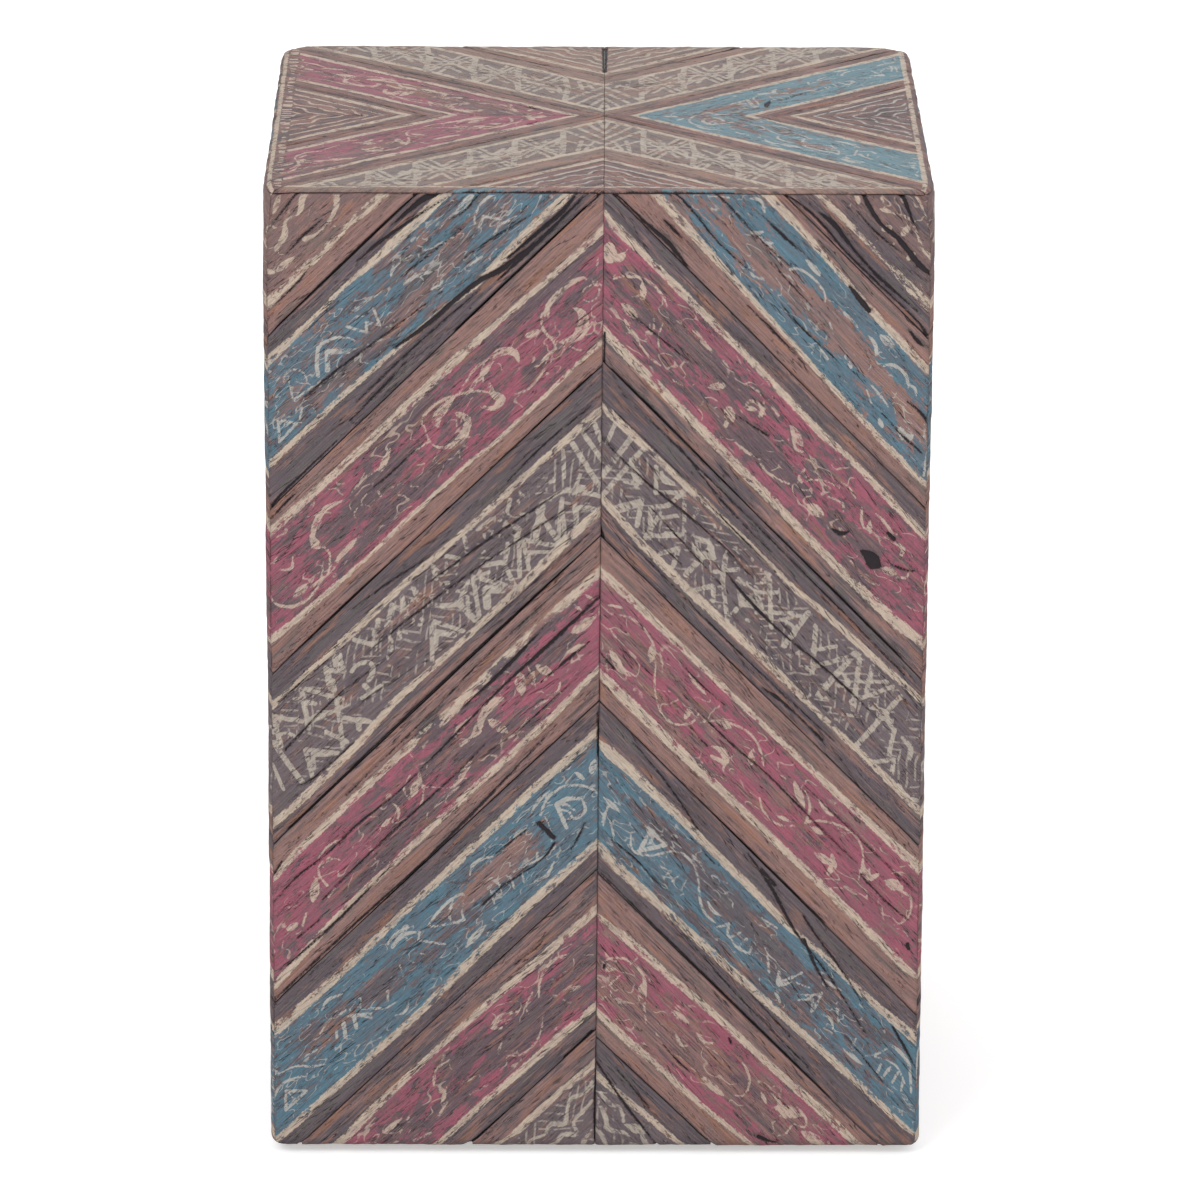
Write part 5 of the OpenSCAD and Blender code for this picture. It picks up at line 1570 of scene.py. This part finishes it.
def timber_material(name, light, dark, size, rough=0.7):
    """Plain sawn wood or sheet, grained along the longest of its three sizes."""
    net = Finish(name)
    place = net.in_mm()
    grain = net.noise(place, size, 5, 0.6)
    pore = net.noise(place, tuple(s / 5 for s in size), 3, 0.6, shift=5)
    cloud = net.noise(place, (90, 90, 90), 2, shift=9)
    tint = net.add(net.ramp(grain, 0.3, 0.7, 0, 0.8), net.ramp(cloud, 0.3, 0.7, -0.15, 0.35))
    colour = net.blend(net.step(tint, 0, 1), rgb(*light), rgb(*dark))
    net.cover(colour=net.shade(colour, pore, 0.86, 1.06),
              rough=net.ramp(grain, 0.3, 0.7, rough - 0.06, rough + 0.08))
    net.bump(net.add(grain, pore), 0.4, 0.4)
    return net.material


def zinc_material():
    """Dull zinc with a mottled bloom."""
    net = Finish("zinc_steel")
    place = net.in_mm()
    bloom = net.noise(place, (2.5, 2.5, 2.5), 4, 0.6)
    net.cover(colour=net.blend(net.ramp(bloom, 0.35, 0.65), rgb(186, 188, 190), rgb(150, 152, 156)),
              rough=net.ramp(bloom, 0.3, 0.7, 0.3, 0.5), metal=1)
    net.bump(net.noise(place, (6, 0.5, 0.5), 2, shift=4), 0.2, 0.1)
    return net.material


def glide_material():
    """Moulded plastic, slightly scuffed."""
    net = Finish("glide_plastic")
    place = net.in_mm()
    scuff = net.noise(place, (5, 0.8, 2), 4, 0.65)
    net.cover(colour=net.blend(net.step(scuff, 0.5, 0.7), rgb(52, 48, 46), rgb(92, 86, 82)),
              rough=net.ramp(scuff, 0.3, 0.7, 0.42, 0.62))
    net.bump(net.noise(place, (0.5, 0.5, 0.5), 2, shift=3), 0.25, 0.1)
    return net.material


def paint_node(name, material):
    """Gives a CAD node that keeps its shape its finish."""
    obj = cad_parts[name]
    obj.data.materials.clear()
    obj.data.materials.append(material)


# Boards in place

def eased(t):
    """Eases from 0 to 1 while t does."""
    t = np.clip(t, 0, 1)
    return t * t * (3 - 2 * t)


def knock_corners(shell):
    """Wears the four corners of the top down, in plan and in height."""
    points = shell.points
    gone = np.column_stack((HALF - abs(points[:, 0]), HALF - abs(points[:, 1]), TOP - points[:, 2]))
    near = 1 - np.linalg.norm(gone * (1, 1, 0.5), axis=1) / KNOCK_REACH
    pull = KNOCK * eased(near) * shell.shown
    for axis in (0, 1):
        points[:, axis] -= np.sign(points[:, axis]) * pull * 0.7
    points[:, 2] -= pull * 0.4


def board_inputs(material):
    """What the weathering tree is given for a board of this material."""
    sizes = bpy.context.scene.block_sizes
    return {"Hollow": sizes.hollow / MM, "Grain": sizes.grain / MM, "Crack": sizes.crack / MM,
            "Arris": sizes.arris / MM, "Seed": float(sizes.seed), "Material": material}


def side_row(side, number, lines, step):
    """The two boards of one row of a side."""
    shells = []
    for half in (-1, 1):
        key = SIDES.index(side) * 100 + number * 2 + (half > 0)
        rng = np.random.default_rng(key + 1)
        line, next_line = (joint_line(side, half, n, lines) for n in (number, number + 1))
        shell, a, s = side_board(half, line, next_line, step)
        offset, slope = line
        c = 1 / math.hypot(1, slope)
        u = a * c + (s - offset) * slope * c
        v = -a * slope * c + (s - offset) * c
        recipe = Recipe(rng)
        if side == "front":
            recipe.take(FRONT_PAINT[number, half], rng)
        else:
            row = rng.choice(SAME_ORNAMENT[number])
            recipe.copy(FRONT_PAINT[row, rng.choice((-1, 1))], rng)
        finish_shell(shell, u, v, recipe, key, half, s, (0.6, 1.6))
        points = shell.points
        below = TOP - points[:, 2]
        inset = TAPER * eased(below / TAPER_END) * shell.shown
        points[:, 1] += inset
        points[:, 0] -= inset * points[:, 0] / HALF
        drift = SEAM_DRIFT.get(side, 0.0) * (1 - below / LOW)
        points[:, 0] += drift * (1 - abs(points[:, 0]) / HALF)
        knock_corners(shell)
        shell.turn(side)
        shells.append(shell)
    return shells


def top_sector(side, kind, step):
    """The two band boards or the two end boards of one side of the top."""
    shells = []
    for half in (-1, 1):
        key = 1000 + SIDES.index(side) * 10 + (kind == "end") * 2 + (half > 0)
        rng = np.random.default_rng(key)
        shell, a, e = top_board(half, kind, step)
        u = (a + e) / DIAGONAL
        v = (e - a) / DIAGONAL - (BOARD_W if kind == "end" else 0)
        recipe = Recipe(rng)
        recipe.take(top_paint(side, half, kind, rng), rng)
        recipe.rungs = side == "left"
        recipe.unpainted = kind == "end"
        finish_shell(shell, u, v, recipe, key, half, HALF - e, TOP_EDGE_LINE[side])
        shell.turn(side)
        points = shell.points
        drift = np.interp(points[:, 1], (-HALF, HALF), (SEAM_DRIFT["front"], -SEAM_DRIFT["back"]))
        points[:, 0] += drift * np.maximum(1 - abs(points[:, 0]) / HALF, 0)
        knock_corners(shell)
        shells.append(shell)
    return shells


# Operators

class TABLE_OT_side_boards(bpy.types.Operator):
    """Adds the chevron boards of the four sides"""
    bl_idname = "block_table.side_boards"
    bl_label = "Side Boards"

    def execute(self, context):
        sizes = context.scene.block_sizes
        tree = weathering_tree()
        materials = {paint: board_material(paint) for paint in ("red", "blue", "grey", "brown")}
        for side in SIDES:
            step = (sizes.front_step if side == "front" else sizes.side_step) / MM
            lines = side_lines(SIDES.index(side))
            for number, row in enumerate(ROWS):
                name = f"{side}_{row}"
                paint = SIDE_PAINT[number]
                mesh = build_mesh(name, side_row(side, number, lines, step))
                add_piece(f"{name}_boards", mesh, [name], tree,
                          board_inputs(materials[paint]))
        return {"FINISHED"}


class TABLE_OT_top_boards(bpy.types.Operator):
    """Adds the boards of the top, mitred on its diagonals"""
    bl_idname = "block_table.top_boards"
    bl_label = "Top Boards"

    def execute(self, context):
        step = context.scene.block_sizes.front_step / MM * 1.15
        tree = bpy.data.node_groups["board_weathering"]
        for side in SIDES:
            paint = TOP_PAINT[side]
            for kind in ("band", "end"):
                name = f"top_{side}_{kind}_boards"
                ground = "blue" if (side, kind) == ("front", "end") else paint
                material = bpy.data.materials[f"worn_{ground}_paint"]
                mesh = build_mesh(name, top_sector(side, kind, step))
                add_piece(f"{name}_worn", mesh, [name], tree,
                          board_inputs(material))
        return {"FINISHED"}


class TABLE_OT_carcass(bpy.types.Operator):
    """Finishes the plywood walls, deck and base panel, the posts and the cleats"""
    bl_idname = "block_table.carcass"
    bl_label = "Carcass"

    def execute(self, context):
        sheet = timber_material("plywood", (196, 166, 128), (160, 126, 90), (46, 2.2, 9))
        stick = timber_material("softwood", (206, 176, 134), (176, 138, 96), (5, 5, 60))
        for name in ("front_wall", "back_wall", "left_wall", "right_wall", "deck", "base_panel"):
            paint_node(name, sheet)
        for name in (*(f"corner_post_{n}" for n in range(1, 5)), "base_cleats"):
            paint_node(name, stick)
        return {"FINISHED"}


class TABLE_OT_fixings(bpy.types.Operator):
    """Finishes the screws, the nails and the glides under the posts"""
    bl_idname = "block_table.fixings"
    bl_label = "Fixings"

    def execute(self, context):
        zinc, plastic = zinc_material(), glide_material()
        tree, rng = screws_tree(), np.random.default_rng(5)
        for name in ("wall_screws", "deck_screws", "cleat_screws"):
            set_screws(name, tree, zinc, rng)
        paint_node("glide_nails", zinc)
        for n in range(1, 5):
            paint_node(f"glide_{n}", plastic)
        return {"FINISHED"}


class TABLE_OT_stage(bpy.types.Operator):
    """Sets the floor, the light and the camera"""
    bl_idname = "block_table.stage"
    bl_label = "Stage"

    def execute(self, context):
        scene, stage = context.scene, context.scene.block_stage
        self.add_floor(scene, stage.floor)
        self.set_world(scene)
        for name, (place, height, size, power) in LAMPS.items():
            light = bpy.data.lights.new(name, "AREA")
            light.size, light.energy = size, power
            obj = bpy.data.objects.new(name, light)
            ahead = Vector((0, 0, height)) - Vector(place)
            obj.location, obj.rotation_euler = place, ahead.to_track_quat("-Z", "Y").to_euler()
            scene.collection.objects.link(obj)
        self.add_camera(scene, stage.lens)
        scene.view_settings.view_transform = "Standard"
        return {"FINISHED"}

    @staticmethod
    def add_floor(scene, colour):
        """A wide floor that glows a little for rays that show it."""
        mesh, r = bpy.data.meshes.new("floor"), 12.0
        mesh.from_pydata([(-r, -r, 0), (r, -r, 0), (r, r, 0), (-r, r, 0)], [], [(0, 1, 2, 3)])
        net = Finish("studio_floor")
        net.cover(colour=tuple(colour), rough=0.9, shine=0.0)
        glow = net.put("ShaderNodeEmission", {
            "Color": (1, 1, 1), "Strength": net.times(net.shown(), 0.45)})
        both = net.put("ShaderNodeAddShader", (net.surface.outputs[0], glow))
        net.feed(both, net.tree.nodes["Material Output"].inputs["Surface"])
        mesh.materials.append(net.material)
        obj = bpy.data.objects.new("floor", mesh)
        scene.collection.objects.link(obj)

    @staticmethod
    def set_world(scene):
        """A white world that lights the table less than it shows."""
        world = bpy.data.worlds.new("studio")
        world.use_nodes = True
        scene.world = world
        net, back = Net(world.node_tree), world.node_tree.nodes["Background"]
        net.feed((1, 1, 1), back.inputs["Color"])
        net.feed(net.ramp(net.shown(), 0, 1, 0.62, 1.0), back.inputs["Strength"])

    @staticmethod
    def add_camera(scene, lens):
        """The photograph's camera."""
        data = bpy.data.cameras.new("camera")
        data.lens, data.sensor_width = lens, 36
        camera = bpy.data.objects.new("camera", data)
        level = Vector((math.sin(CAMERA_YAW), math.cos(CAMERA_YAW), 0))
        ahead = level * math.cos(CAMERA_PITCH) - Vector((0, 0, math.sin(CAMERA_PITCH)))
        right = Vector((level.y, -level.x, 0))
        turn = Matrix((right, right.cross(ahead), -ahead)).transposed()
        turn = turn @ Matrix.Rotation(CAMERA_ROLL, 3, "Z")
        camera.matrix_world = Matrix.Translation(CAMERA_PLACE) @ turn.to_4x4()
        scene.collection.objects.link(camera)
        scene.camera = camera


class TABLE_PT_panel(bpy.types.Panel):
    """Lists the steps that dress the table"""
    bl_idname = "TABLE_PT_panel"
    bl_label = "Block Table"
    bl_space_type = "VIEW_3D"
    bl_region_type = "UI"
    bl_category = "Block Table"

    def draw(self, context):
        layout = self.layout
        for settings in ("block_colours", "block_sizes", "block_stage"):
            group = getattr(context.scene, settings)
            box = layout.box()
            for name in group.bl_rna.properties.keys():
                if name not in ("rna_type", "name"):
                    box.prop(group, name)
        for step in STEPS:
            layout.operator(step.bl_idname)


SETTINGS = {"block_colours": BoardColours, "block_sizes": BoardSizes, "block_stage": StageSettings}
STEPS = (TABLE_OT_side_boards, TABLE_OT_top_boards, TABLE_OT_carcass, TABLE_OT_fixings,
         TABLE_OT_stage)


def register():
    for cls in (*SETTINGS.values(), *STEPS, TABLE_PT_panel):
        bpy.utils.register_class(cls)
    for name, cls in SETTINGS.items():
        setattr(bpy.types.Scene, name, PointerProperty(type=cls))


def unregister():
    for name in SETTINGS:
        delattr(bpy.types.Scene, name)
    for cls in reversed((*SETTINGS.values(), *STEPS, TABLE_PT_panel)):
        bpy.utils.unregister_class(cls)


def main():
    register()
    bpy.ops.block_table.side_boards()
    bpy.ops.block_table.top_boards()
    bpy.ops.block_table.carcass()
    bpy.ops.block_table.fixings()
    bpy.ops.block_table.stage()


if __name__ == "__main__":
    main()
